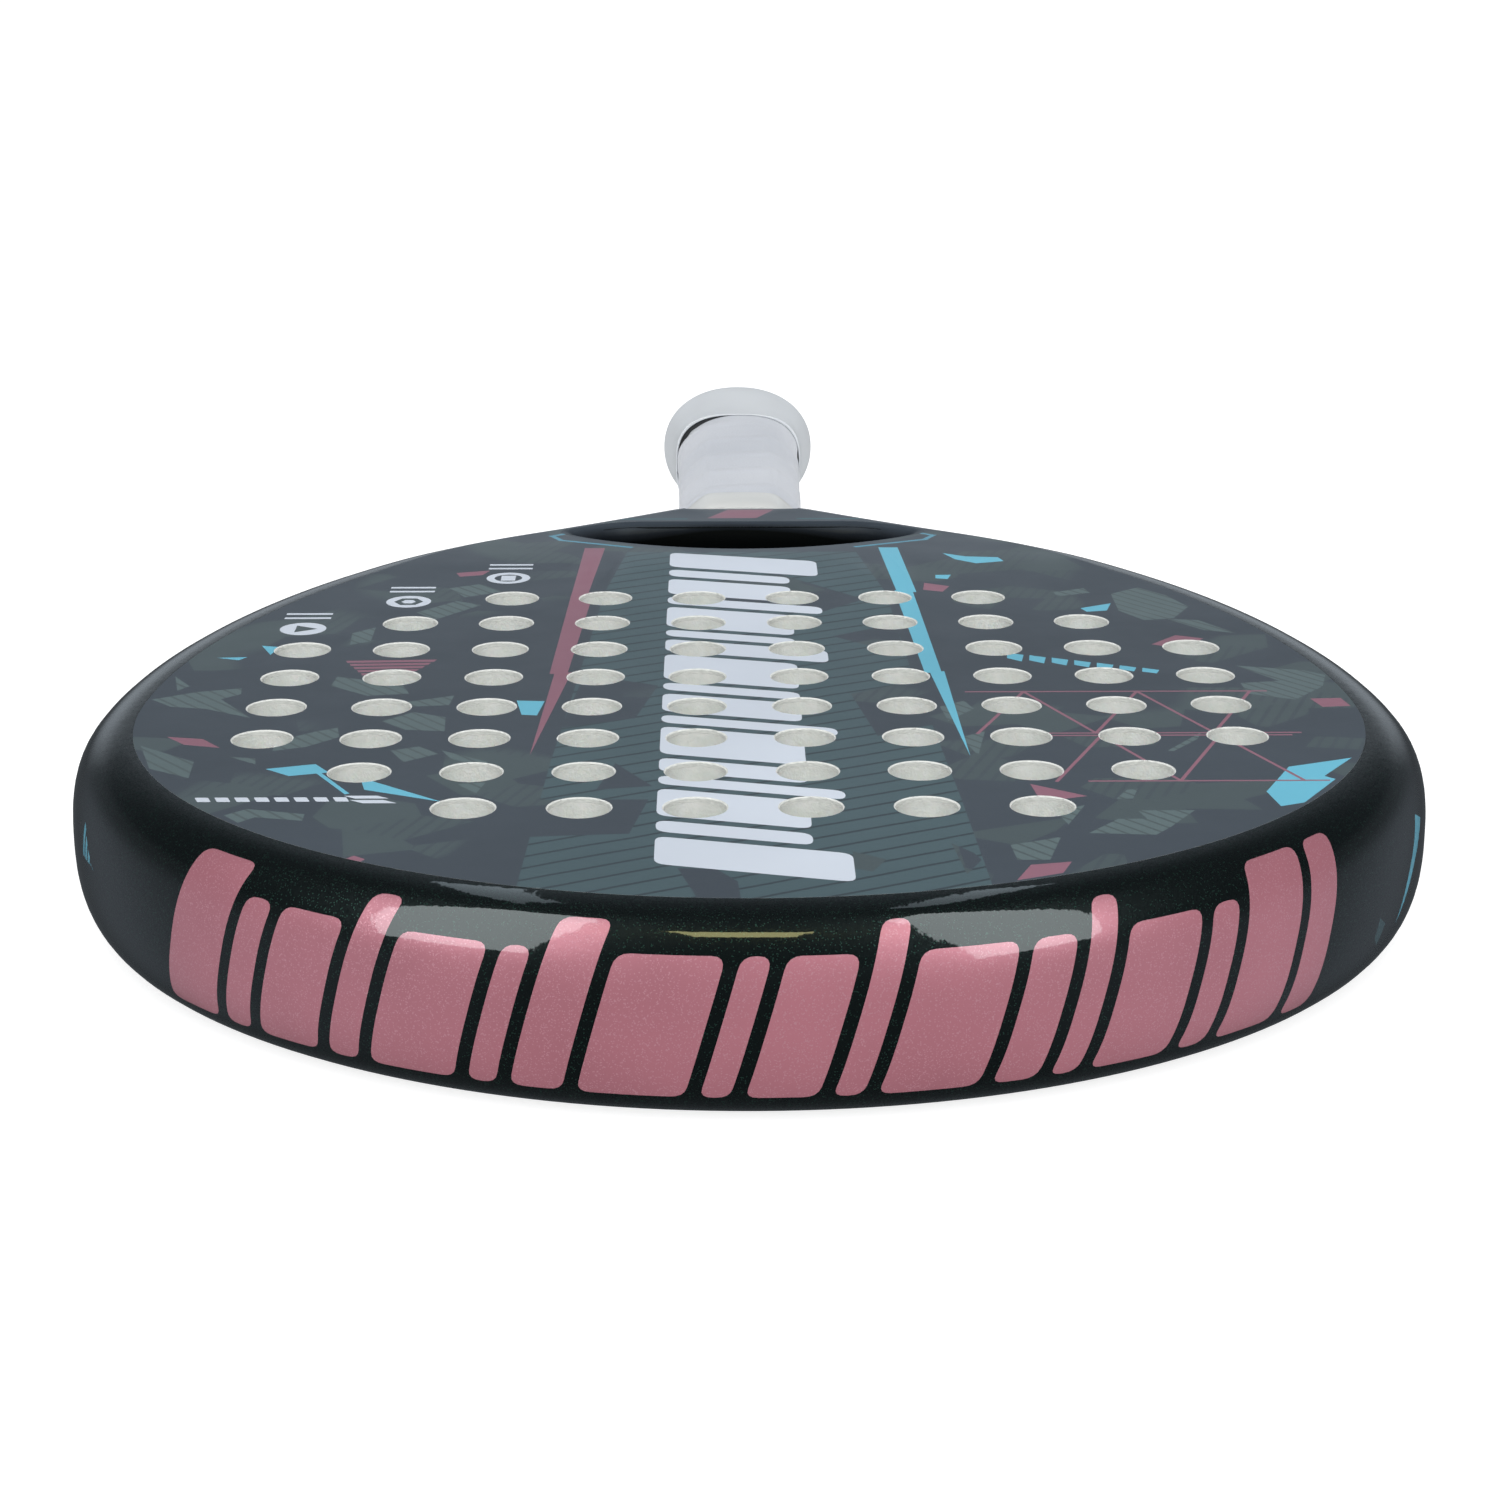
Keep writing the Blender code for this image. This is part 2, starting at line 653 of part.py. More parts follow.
def cord_path():
    """The closed loop of cord, starting at its tight turn beside the butt."""
    turn_y = PIVOT_Y + CORD_TURN_R
    half = []
    for i in range(4):
        angle = math.pi / 2 * i / 3
        half.append((CORD_TURN_R * math.sin(angle), turn_y - CORD_TURN_R * math.cos(angle)))
    for i in range(1, 9):
        t = i / 8
        half.append((blend(CORD_TURN_R, STRAND_X, t), turn_y + (DROOP_END_Y - turn_y) * t))
    half.append((STRAND_X, PARALLEL_END_Y))
    for i in range(1, 6):
        t = i / 5
        y = PARALLEL_END_Y + (LOOP_CENTRE_Y - PARALLEL_END_Y) * t
        half.append((blend(STRAND_X, LOOP_R, t), y))
    for i in range(1, 7):
        angle = math.pi / 2 * i / 6
        half.append((LOOP_R * math.cos(angle), LOOP_CENTRE_Y + LOOP_R * math.sin(angle)))
    half[-1] = (0, LOOP_CENTRE_Y + LOOP_R)
    other = [(-x, y) for x, y in reversed(half[1:-1])]
    return [(x, y, cord_height(y)) for x, y in half + other]


def rounded_box(width, height, radius, steps=4):
    """A rectangle with round corners, as points of a 2D outline."""
    points = []
    for corner in range(4):
        sx, sy = ((1, 1), (-1, 1), (-1, -1), (1, -1))[corner]
        for i in range(steps + 1):
            angle = math.pi / 2 * (corner + i / steps)
            x = sx * (width / 2 - radius) + radius * math.cos(angle)
            y = sy * (height / 2 - radius) + radius * math.sin(angle)
            points.append(Vector((x, y)))
    return points


def build_slider(collection, parent, material):
    """The adjuster: a rounded block with one slot that both strands of the cord pass through."""
    body = rounded_box(SLIDER_W, SLIDER_T, 3.5 * MM)
    slot = rounded_box(SLIDER_SLOT_W, SLIDER_SLOT_T, 2.3 * MM)
    bm = flat_mesh("strap_slider", [body, slot], SLIDER_LENGTH)
    slider = add_object("strap_slider", mesh_from(bm, "strap_slider"), collection, parent, material)
    slider.location = (0, SLIDER_Y + SLIDER_LENGTH / 2, CORD_LEVEL_Z - HALF_T)
    slider.rotation_euler = (math.pi / 2, 0, 0)


def main():
    clear_scene()
    racket = make_collection("padel_racket")
    cutters = make_collection("cutters")
    root = add_object("racket", None, racket, None)
    root.location = (0, 0, HALF_T)
    materials = {name: make_material(name) for name in MATERIALS}

    build_frame_tube(racket, root, materials["gloss_rim"])
    build_face("front_face", 1, racket, root, materials["satin_face"])
    build_face("back_face", -1, racket, root, materials["satin_face"])
    build_inside_plate("eva_core", core_outlines(), racket, root, materials["eva_foam"])
    build_inside_plate("throat_bridge", [bridge_outline()], racket, root, materials["gloss_rim"])
    build_inside_plate("neck_wedge", [wedge_outline()], racket, root, materials["gloss_rim"])

    handle_core, sleeve = build_handle(racket, root, materials)
    cap = build_butt_cap(racket, cutters, root, materials["white_plastic"])
    build_cap_badge(racket, root, materials["white_plastic"])
    build_staples(racket, cutters, root, materials["staple_steel"], (cap, sleeve, handle_core))

    build_cord_stopper(racket, root, materials["black_plastic"])
    build_cord(
        "wrist_strap", cord_path(), CORD_R, True, racket, root, materials["black_cord"]
    )
    build_slider(racket, root, materials["black_plastic"])


main()
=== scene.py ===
"""Looks for the padel racket: fine surfaces, printed artwork, materials, camera and studio light.

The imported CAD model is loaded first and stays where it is. Plans and profiles are worked out in
millimetres in the CAD frame (+Y from the tip of the head to the butt, +Z out of the front face), and
are turned into metres when a mesh is made.
"""

import bisect
import json
import math

import bmesh
import bpy
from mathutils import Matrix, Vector, noise
from mathutils.geometry import delaunay_2d_cdt, interpolate_bezier


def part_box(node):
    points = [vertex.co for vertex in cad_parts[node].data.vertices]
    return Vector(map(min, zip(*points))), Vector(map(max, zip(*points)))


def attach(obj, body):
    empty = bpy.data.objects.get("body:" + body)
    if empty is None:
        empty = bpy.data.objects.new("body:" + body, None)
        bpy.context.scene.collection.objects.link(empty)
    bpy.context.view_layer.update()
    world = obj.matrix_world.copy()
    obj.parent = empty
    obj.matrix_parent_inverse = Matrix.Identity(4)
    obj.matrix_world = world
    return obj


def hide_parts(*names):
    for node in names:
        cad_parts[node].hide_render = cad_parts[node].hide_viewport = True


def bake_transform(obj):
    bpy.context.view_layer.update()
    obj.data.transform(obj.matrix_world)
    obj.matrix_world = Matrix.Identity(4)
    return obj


MM = 0.001

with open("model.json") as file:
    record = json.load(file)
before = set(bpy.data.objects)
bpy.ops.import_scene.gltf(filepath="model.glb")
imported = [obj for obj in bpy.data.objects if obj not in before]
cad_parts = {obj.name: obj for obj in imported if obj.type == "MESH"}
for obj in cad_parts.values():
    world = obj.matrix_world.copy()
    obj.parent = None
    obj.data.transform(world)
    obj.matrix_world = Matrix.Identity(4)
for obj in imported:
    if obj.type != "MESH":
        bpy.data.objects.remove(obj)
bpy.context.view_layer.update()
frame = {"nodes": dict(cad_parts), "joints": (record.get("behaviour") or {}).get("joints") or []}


def box_mm(node):
    low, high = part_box(node)
    return low / MM, high / MM


# ---- Sizes, in millimetres ----

TUBE_LOW, TUBE_HIGH = box_mm("frame_tube")
TIP_Y = TUBE_LOW.y
HALF_W = TUBE_HIGH.x
MID_Z = TUBE_HIGH.z / 2
HALF_T = MID_Z
WIDEST_Y = TIP_Y + 117.8
SIDE_LENGTH, SIDE_POWER = 171.7, 1.87
SHOULDER_Y, SHOULDER_REACH = 118, 14
NECK_X, NECK_Y = 16.2, 176.5
NECK_PULL = Vector((5, -1))
NECK_HALF_T = 14.6
HEAD_END_Y, ARM_Y = 100, 140
LEG_X, LEG_Y, LEG_END_Y, LEG_HALF_T = 11.5, 178.4, 186, 8.7
RIM_POWER = 2.6
TIP_INSET, SIDE_INSET, ARM_INSET, LEG_INSET = 12.5, 12, 6.5, 4.5
HEAD_TUBE, ARM_TUBE, NECK_TUBE, LEG_TUBE = 16, 11, 10, 6
FACE_T = 1.0
REBATE = FACE_T + 0.3
HAIRLINE = 0.03
ARM_END_Y, FACE_END_Y, NECK_FALL = 170.4, 176.7, 0.26
HOLE_PITCH, HOLE_R, HOLE_SIDES = 20.42, 5.6, 40
HOLES_IN_ROW = (6, 8, 10, 10, 10, 10, 8, 6)
OPENING_NEAR_Y, OPENING_FAR_Y, OPENING_R, BRIDGE_W = 119, 151.5, 50, 13
NEAR_ROLL_R, FAR_ROLL_R = 2.4, 5.0
NEAR_OVERHANG, FAR_OVERHANG = 0.8, 1.85
ROLL_START_Y, ROLL_LENGTH = 121, 16
# Painted shade in the throat: how many times faster it deepens at the middle of the racket, and the
# half-width in mm over which that eases off.
SHADE_IN_MIDDLE, SHADE_HALF_W = 2.4, 26

CAP_LOW, CAP_HIGH = box_mm("butt_cap")
BUTT_Y = CAP_HIGH.y
HANDLE_SIDES = 96


# ---- Curves in plan ----


def ease(a, b, t):
    t = min(1, max(0, t))
    return a + (b - a) * t * t * (3 - 2 * t)


def side_x(y):
    u = (y - WIDEST_Y) / SIDE_LENGTH
    return HALF_W * (1 - u**SIDE_POWER) ** (1 / SIDE_POWER)


def half_outline():
    """The rim's outline on the +X side, from the tip to the part that goes into the handle."""
    points = []
    for i in range(90):
        angle = math.pi / 2 * i / 90
        points.append(Vector((HALF_W * math.sin(angle), WIDEST_Y - (WIDEST_Y - TIP_Y) * math.cos(angle))))
    for i in range(60):
        y = WIDEST_Y + (SHOULDER_Y - WIDEST_Y) * i / 60
        points.append(Vector((side_x(y), y)))
    shoulder = Vector((side_x(SHOULDER_Y), SHOULDER_Y))
    slope = (shoulder - Vector((side_x(SHOULDER_Y - 1), SHOULDER_Y - 1))).normalized()
    neck = Vector((NECK_X, NECK_Y))
    curve = interpolate_bezier(shoulder, shoulder + slope * SHOULDER_REACH, neck + NECK_PULL, neck, 40)
    points += [point.to_2d() for point in curve]
    return points + [Vector((LEG_X, LEG_Y)), Vector((LEG_X, LEG_END_Y))]


class Edge:
    """The rim's outline, measured along its length from the tip: positive on the +X side."""

    def __init__(self):
        self.points = half_outline()
        self.lengths = [0]
        for a, b in zip(self.points, self.points[1:]):
            self.lengths.append(self.lengths[-1] + (b - a).length)
        self.normals = []
        for i in range(len(self.points)):
            before = self.points[i - 1] if i else Vector((-self.points[1].x, self.points[1].y))
            after = self.points[min(i + 1, len(self.points) - 1)]
            along = (after - before).normalized()
            self.normals.append(Vector((-along.y, along.x)))

    def at(self, s):
        """The point and the inward normal at a signed length."""
        i = min(max(bisect.bisect(self.lengths, abs(s)) - 1, 0), len(self.points) - 2)
        t = (abs(s) - self.lengths[i]) / (self.lengths[i + 1] - self.lengths[i])
        point = self.points[i].lerp(self.points[i + 1], t)
        normal = self.normals[i].lerp(self.normals[i + 1], t).normalized()
        sign = -1 if s < 0 else 1
        return Vector((sign * point.x, point.y)), Vector((sign * normal.x, normal.y))

    def length_at_y(self, y):
        for i, point in enumerate(self.points):
            if point.y >= y:
                return self.lengths[i]
        return self.lengths[-1]


EDGE = Edge()


def in_handle(y):
    return y > NECK_Y + 0.3


def half_thickness(y):
    if in_handle(y):
        return LEG_HALF_T
    return ease(HALF_T, NECK_HALF_T, (y - HEAD_END_Y) / (NECK_Y - HEAD_END_Y))


def rim_inset(y):
    if in_handle(y):
        return LEG_INSET
    if y > HEAD_END_Y:
        return ease(SIDE_INSET, ARM_INSET, (y - HEAD_END_Y) / (ARM_Y - HEAD_END_Y))
    return ease(TIP_INSET, SIDE_INSET, (y - TIP_Y) / (WIDEST_Y - TIP_Y))


def tube_width(y):
    if in_handle(y):
        return LEG_TUBE
    if y > ARM_Y:
        return ease(ARM_TUBE, NECK_TUBE, (y - ARM_Y) / (NECK_Y - ARM_Y))
    return ease(HEAD_TUBE, ARM_TUBE, (y - HEAD_END_Y) / (ARM_Y - HEAD_END_Y))


def offset_edge(depth, step=3):
    """The +X outline moved into the racket by depth(y), as points from the tip to the neck."""
    points = []
    last = EDGE.length_at_y(NECK_Y)
    count = round(last / step)
    for i in range(count + 1):
        point, normal = EDGE.at(last * i / count)
        points.append(point + normal * depth(point.y))
    return points


def between(edge, low_y, high_y):
    cut = []
    for a, b in zip(edge, edge[1:]):
        for y in (low_y, high_y):
            if min(a.y, b.y) < y < max(a.y, b.y):
                cut.append(a.lerp(b, (y - a.y) / (b.y - a.y)))
    inside = [p for p in edge if low_y < p.y < high_y]
    return sorted(cut + inside, key=lambda p: p.y)


def mirrored(points):
    return [Vector((-p.x, p.y)) for p in reversed(points)]


def arc_to_edge(radius, edge, steps=24):
    """Points of a bridge arc from x = 0 out to where it meets a +X edge."""
    centre_y = OPENING_NEAR_Y + OPENING_R
    meet = min(
        (p for p in edge if SHOULDER_Y / 2 < p.y < OPENING_FAR_Y),
        key=lambda p: abs((p - Vector((0, centre_y))).length - radius),
    )
    end = math.atan2(meet.x, centre_y - meet.y)
    arc = []
    for i in range(steps):
        angle = end * i / steps
        arc.append(Vector((radius * math.sin(angle), centre_y - radius * math.cos(angle))))
    return arc + [meet], meet.y


def spread(path, step):
    """Evenly spaced points along a bent line."""
    lengths = [0]
    for a, b in zip(path, path[1:]):
        lengths.append(lengths[-1] + (b - a).length)
    count = round(lengths[-1] / step)
    points = []
    for k in range(count + 1):
        s = min(lengths[-1] * k / count, lengths[-1] - 1e-6)
        i = bisect.bisect(lengths, s) - 1
        points.append(path[i].lerp(path[i + 1], (s - lengths[i]) / (lengths[i + 1] - lengths[i])))
    return points


def circle(x, y, radius, sides=HOLE_SIDES):
    angles = [2 * math.pi * i / sides for i in range(sides)]
    return [Vector((x + radius * math.cos(a), y + radius * math.sin(a))) for a in angles]


def hole_centres():
    rows = len(HOLES_IN_ROW)
    for row, count in enumerate(HOLES_IN_ROW):
        for column in range(count):
            x = (column - (count - 1) / 2) * HOLE_PITCH
            yield x, (row - (rows - 1) / 2) * HOLE_PITCH


# ---- Artwork: flat shapes in the painter's order ----


def poly(*places):
    return [Vector(place) for place in places]


def rounded(a, corner, b, steps):
    """A curve from a to b that turns the corner between them."""
    points = []
    for i in range(steps + 1):
        t = i / steps
        points.append((1 - t) ** 2 * a + 2 * t * (1 - t) * corner + t * t * b)
    return points


def strokes(points, width):
    """A bent line of a given width, as one four-sided shape for each stretch."""
    shapes = []
    for a, b in zip(points, points[1:]):
        a, b = Vector(a), Vector(b)
        along = (b - a).normalized() * width / 2
        side = Vector((-along.y, along.x))
        shapes.append([a - along + side, a - along - side, b + along - side, b + along + side])
    return shapes


def slanted_bar(start, width, low, high, slant, radius):
    """A leaning bar with round corners, standing on a baseline along u."""
    corners = [
        Vector((start + slant * low, low)),
        Vector((start + width + slant * low, low)),
        Vector((start + width + slant * high, high)),
        Vector((start + slant * high, high)),
    ]
    cut = min(radius, width / 2.2)
    points = []
    for i, corner in enumerate(corners):
        before = (corners[i - 1] - corner).normalized()
        after = (corners[(i + 1) % 4] - corner).normalized()
        points += rounded(corner + before * cut, corner, corner + after * cut, 4)
    return points


# Bars along a band that runs from -114 to 114: (start, width, tall or not)
BAND = (
    (-113, 14, True), (-96.5, 6, False), (-88, 13, False), (-72.5, 6, True), (-64, 16, False),
    (-45.5, 5, False), (-38, 9, True), (-26.5, 18, False), (-6, 5, False), (1.5, 12, False), (16, 5, True),
    (23.5, 17, False), (43, 8, False), (53.5, 5, True), (61, 15, False), (78.5, 6, False), (87, 14, True),
    (103.5, 8, True),
)
BAND_SLANT, BAR_CORNER = 0.28, 2.4


def band_bars(low, middle, high):
    """The decorative band of leaning bars."""
    bars = []
    for start, width, tall in BAND:
        bars.append(slanted_bar(start, width, low, high if tall else middle, BAND_SLANT, BAR_CORNER))
    return bars


def finely(shape, step=1.0):
    """The same outline with extra points along its sides, so that it can follow a curved surface."""
    points = []
    for a, b in zip(shape, shape[1:] + shape[:1]):
        count = max(1, round((b - a).length / step))
        points += [a.lerp(b, i / count) for i in range(count)]
    return points


def to_face(shapes):
    """Turns band shapes so that the band runs down the face, with its feet towards -X."""
    return [[Vector((p.y, -4.5 - p.x)) for p in shape] for shape in shapes]


def face_artwork():
    """(material, shape) pairs, each painted over the ones before it."""
    art = []

    def paint(material, *shapes):
        art.extend((material, shape) for shape in shapes)

    right = [(26, 114), (31, 76), (33, 12), (37, -68), (39, -118)]
    left = [(-39.5, -118), (-37, -46), (-34, 12), (-31, 76)]
    paint("face_panel", poly((-27, 114), *right, *left))
    paint(
        "face_satin",
        poly((-9, 84), (8, 92), (26, 70), (15, 58), (-3, 66)),
        poly((-33, 12), (-18, 4), (-22, -18), (-36, -24)),
        poly((20, -2), (36, 8), (36, -22), (24, -30)),
        poly((-13, -103), (-6.5, -103.5), (-3, -109.5), (-2.5, -118), (-9.5, -118)),
        poly((16.5, -95), (22, -99), (19.5, -105), (16.5, -103.5)),
        poly((33.5, -91), (37, -96), (38, -99.5), (35, -106.5)),
        poly((-40, -67), (-18.5, -67), (-21.5, -85.5), (-40, -87)),
        poly((-25, -46), (-18, -59.5), (-28, -61.5)),
        poly((18, 40), (32, 50), (32, 26)),
    )
    # Faint shards over the rest of the face
    paint(
        "face_shard",
        poly((-114, -34.5), (-102.5, -44.5), (-102, -54), (-110, -48.5)),
        poly(
            (-117, -4.5), (-109, 0.5), (-100.5, 3), (-100, -1), (-103.5, -4.5), (-96, -17), (-105.5, -11),
            (-112.5, -9.5),
        ),
        poly((-115, 11.5), (-111, 4.5), (-113, 1.5)),
        poly((-96.5, -41.5), (-91.5, -42.5), (-91, -46)),
        poly((-92.5, -75), (-89, -71.5), (-78.5, -74.5), (-78.5, -78), (-87, -76), (-89.5, -79)),
        poly((-89, -32), (-82.5, -26), (-78.5, -23.5), (-77.5, -29.5), (-83, -35.5), (-89, -38)),
        poly((-83, 4.5), (-82.5, 11), (-69, 5.5), (-67, -1), (-75, -2.5)),
        poly((-70.5, -19.5), (-65, -13.5), (-58.5, -17), (-58, -26), (-65.5, -25)),
        poly((-66.5, -6.5), (-58, -2.5), (-58.5, -9), (-66.5, -10)),
        poly((-82.5, 34.5), (-83, 43.5), (-78.5, 48), (-78.5, 37)),
        poly((-71, 60), (-63, 69.5), (-57.5, 66), (-66.5, 54)),
        poly((-57.5, -38), (-48.5, -45), (-48.5, -48.5), (-55.5, -43)),
        poly((-53, -58), (-48, -57), (-49.5, -64)),
        poly((-65.5, 80.5), (-59, 84), (-53.5, 77.5), (-61.5, 72.5)),
        poly((-67, -38), (-62, -35.5), (-58, -40), (-64, -45)),
        poly((80.5, 74), (87, 79.5), (92.5, 72.5), (96, 63), (91.5, 53.5), (85, 52), (80.5, 60)),
        poly((68, 75.5), (75, 79), (76, 75), (68.5, 72)),
        poly((99, 17), (112, 13.5), (116, 10), (114, 2), (107, -7), (98.5, -3), (98, 4.5), (106, 6)),
        poly((57.5, -86), (63.5, -78.5), (68.5, -78.5), (67.5, -74), (77.5, -74), (72, -83), (69, -87)),
        poly((64.5, -67.5), (67, -62.5), (69, -62), (67.5, -67.5)),
        poly((53, -74.5), (58.5, -71), (54.5, -81.5)),
        poly((43.5, -92), (52.5, -88), (49.5, -99.5), (44, -99.5)),
        poly((90, 53), (96.5, 52), (103, 41.5), (96.5, 44)),
        poly((37, -11), (42, -7), (43.5, -12.5), (38, -20.5)),
        poly((39.5, -31), (44.5, -27), (42, -42)),
        poly((77.5, -39.5), (85.5, -28), (84, -32.5), (78.5, -40)),
    )
    # Bolts either side of the band
    paint(
        "face_rose",
        poly((-37, 118.8), (-32.3, 118.8), (-34.6, 75), (-38.2, 75)),
        poly((-38.2, 76.5), (-33.4, 76.5), (-36.4, 12.5), (-40, 12.5)),
        poly((-39, 13.5), (-35.6, 13.5), (-41, -41)),
    )
    paint(
        "face_cyan",
        poly((31.5, 118.8), (36, 118.8), (37.8, 76), (33.5, 76)),
        poly((33, 77.5), (37, 77.5), (39, 12.5), (35.6, 12.5)),
        poly((36.6, 13.5), (39.6, 13.5), (40.5, -42.5)),
    )
    # Lines round the throat
    for sign in (-1, 1):
        line = [(sign * 39, 141), (sign * 45.4, 134.4), (sign * 43, 128.8), (sign * 26.5, 119.8)]
        paint("face_blue", *strokes(line, 1.3))
        paint("face_teal", *strokes([(sign * 14, 157.6), (sign * 33, 157.6)], 1.2))
    paint("face_rose", poly((-8.5, 158.5), (3.5, 158.5), (8, 169), (-3.5, 169)))
    # Cyan shards
    paint(
        "face_cyan",
        poly(
            (110.8, -44.3), (103.8, -55), (105.5, -56.8), (97.5, -70), (93, -72), (91.8, -63.8),
            (98.3, -49.5),
        ),
        poly((-88.8, -48.8), (-80, -46), (-77, -51), (-84, -53)),
        poly((-71, -54), (-69.5, -61), (-55, -68)),
        poly((-45.5, -6), (-40, -6.5), (-41, -16), (-44, -15.5)),
        poly((-108.7, 25), (-102.5, 25.4), (-104, 23.2)),
        poly((-100.7, 34), (-97, 33), (-98, 27)),
        poly((46, 112), (51, 108.5), (58.5, 107.5), (59.5, 103.5), (53, 101.5), (48.5, 105.5)),
        poly((43, 91), (46.5, 91.2), (45.5, 87.4), (42.8, 88)),
        poly((72.5, 62), (79.5, 66), (78, 60), (73.5, 59)),
    )
    paint("face_cyan", *strokes([(-79.5, -50), (-72.5, -63)], 0.9))
    for i in range(7):
        x, y = 53.5 + 4.4 * i, 27 - 1.9 * i
        dash = poly((x, y), (x + 3.2, y - 1.6), (x + 2.4, 20.5 - 1.5 * i), (x - 0.4, 23 - 1.7 * i))
        paint("face_cyan", dash)
    # Rose shards, some of them in slices
    paint(
        "face_rose",
        poly((40, 84), (45.4, 81), (43.6, 76.2), (39.4, 78)),
        poly((-65, 94), (-57.5, 96), (-59, 92), (-64, 90.6)),
        poly((-110, -29), (-103, -30.5), (-99, -36), (-106, -34)),
        poly((50, -59), (59.5, -66), (51, -69)),
        poly((110, -6.4), (116, -6), (117, -11.4), (111.4, -12)),
        poly((84, 33), (90, 40), (95.5, 37.5), (90.5, 29.5)),
        poly((43, -109.5), (46, -102), (53, -100.5), (51, -106)),
        poly((-71.5, -101), (-67.5, -96.2), (-65.5, -98), (-67, -101)),
    )
    for i in range(5):
        y = 22.5 - 2.3 * i
        paint("face_rose", poly((-82 + i, y), (-63.5 - i, y + 0.7), (-64 - i, y - 0.9), (-81.6 + i, y - 1.5)))
    # A lattice of thin rose lines
    for row in range(2):
        top, bottom = -1 - 29 * row, -28.5 - 29 * row
        left = 43 + 12 * row
        paint("face_rose", *strokes([(left, top), (102, top)], 0.7))
        paint("face_rose", *strokes([(left + 6, bottom), (104, bottom)], 0.7))
        zigzag = [(left + 11.2 * k, top if k % 2 else bottom) for k in range(6 - row)]
        paint("face_rose", *strokes(zigzag, 0.7))
    # The band and the small marks
    paint("face_white", *to_face(band_bars(-17, 10, 16.5)[:-1]))
    for x, y in ((-53, 89.2), (-73.5, 69), (-93.8, 47)):
        paint("face_white", circle(x, y, 4.9, 32))
        for line_y in (y + 8.6, y + 12):
            paint("face_white", *strokes([(x - 4.3, line_y), (x + 4.3, line_y)], 1.3))
    paint("face_satin", circle(-53, 89.2, 3.1, 24))
    paint("face_white", poly((-54.6, 87), (-51.4, 87), (-51.4, 91.4), (-54.6, 91.4)))
    paint("face_satin", circle(-73.5, 69, 3.2, 6), circle(-93.8, 47, 3.1, 3))
    paint("face_white", circle(-73.5, 69, 1.6, 6))
    for k in range(8):
        paint("face_white", slanted_bar(-122 + 3.5 * k, 2.4, -67.6, -65.2, -0.35, 0.3))
    for start, low, high in ((-163, -66, -64.4), (-165, -68.6, -66.8)):
        paint("face_white", slanted_bar(start, 6, low, high, -1.4, 0.2))
    return art


def rim_artwork():
    """Shapes in (length along the rim, length up its profile), with the tip and mid-height at (0, 0)."""
    art = [("rim_rose", shape) for shape in band_bars(-13, 12.3, 18)]
    art.append(("rim_cyan", poly((154, 9.5), (158.5, 7.5), (148, -2), (141, -7.5))))
    for k in range(4):
        s, t = -154 + 2 * k, 9 - 2 * k
        art.append(("rim_cyan", poly((s, t), (s + 1.4, t - 1), (s + 1.1, 2.5), (s - 0.2, 2.5))))
    art.append(("rim_teal", poly((131, -3), (134, -5), (131.5, -8.5), (129.6, -6.5))))
    for sign in (-1, 1):
        art.append(("rim_teal", poly((sign * 215, 12), (sign * 240, 9), (sign * 232, 4), (sign * 221, 6))))
        art.append(("rim_rose", poly((sign * 262, 5), (sign * 300, 10), (sign * 296, 3), (sign * 275, -2))))
        art.append(("rim_cyan", poly((sign * 305, 9.5), (sign * 352, 6), (sign * 312, 5.5))))
    return [(material, finely(shape)) for material, shape in art]


# ---- Mesh helpers ----


def contains(shape, p):
    inside = False
    for i, a in enumerate(shape):
        b = shape[i - 1]
        if (a.y > p.y) != (b.y > p.y) and p.x < (b.x - a.x) * (p.y - a.y) / (b.y - a.y) + a.x:
            inside = not inside
    return inside


class Shape:
    """A closed outline with its box, so that most points are ruled out quickly."""

    def __init__(self, points, material=None):
        self.points = points
        self.material = material
        self.low = Vector((min(p.x for p in points), min(p.y for p in points)))
        self.high = Vector((max(p.x for p in points), max(p.y for p in points)))

    def holds(self, p):
        if not (self.low.x <= p.x <= self.high.x and self.low.y <= p.y <= self.high.y):
            return False
        return contains(self.points, p)


def triangulate(loose, outlines, art, chamfered=()):
    """Triangles of a sheet whose edges follow every outline and art shape.

    Returns the points, the triangles and the set of points that lie on a chamfered outline."""
    points, edges, marked = list(loose), [], set()
    for k, shape in enumerate(outlines + [shape for _, shape in art]):
        first, count = len(points), len(shape)
        points += shape
        edges += [(first + i, first + (i + 1) % count) for i in range(count)]
        if k in chamfered:
            marked.update(range(first, first + count))
    verts, _, triangles, origins, _, _ = delaunay_2d_cdt(points, edges, [], 0, 1e-4)
    on_chamfer = {i for i, sources in enumerate(origins) if not marked.isdisjoint(sources)}
    return verts, triangles, on_chamfer


def painted(triangles, verts, art, ground):
    """The material name of each triangle, taken from the topmost shape over its middle."""
    shapes = [Shape(shape, material) for material, shape in art][::-1]
    names = []
    for triangle in triangles:
        middle = (verts[triangle[0]] + verts[triangle[1]] + verts[triangle[2]]) / 3
        names.append(next((s.material for s in shapes if s.holds(middle)), ground))
    return names


def new_piece(name, bm, materials, body="racket", slot=None, replaces=(), sharp=32):
    """Makes the object, gives it its materials, and ties it to the frame."""
    bmesh.ops.recalc_face_normals(bm, faces=bm.faces)
    mesh = bpy.data.meshes.new(name)
    bm.to_mesh(mesh)
    bm.free()
    mesh.shade_smooth()
    mesh.set_sharp_from_angle(angle=math.radians(sharp))
    obj = bpy.data.objects.new(name, mesh)
    bpy.context.scene.collection.objects.link(obj)
    for material in materials:
        mesh.materials.append(MATERIALS[material])
    if body:
        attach(obj, body)
    if replaces:
        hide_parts(*replaces)
    return obj


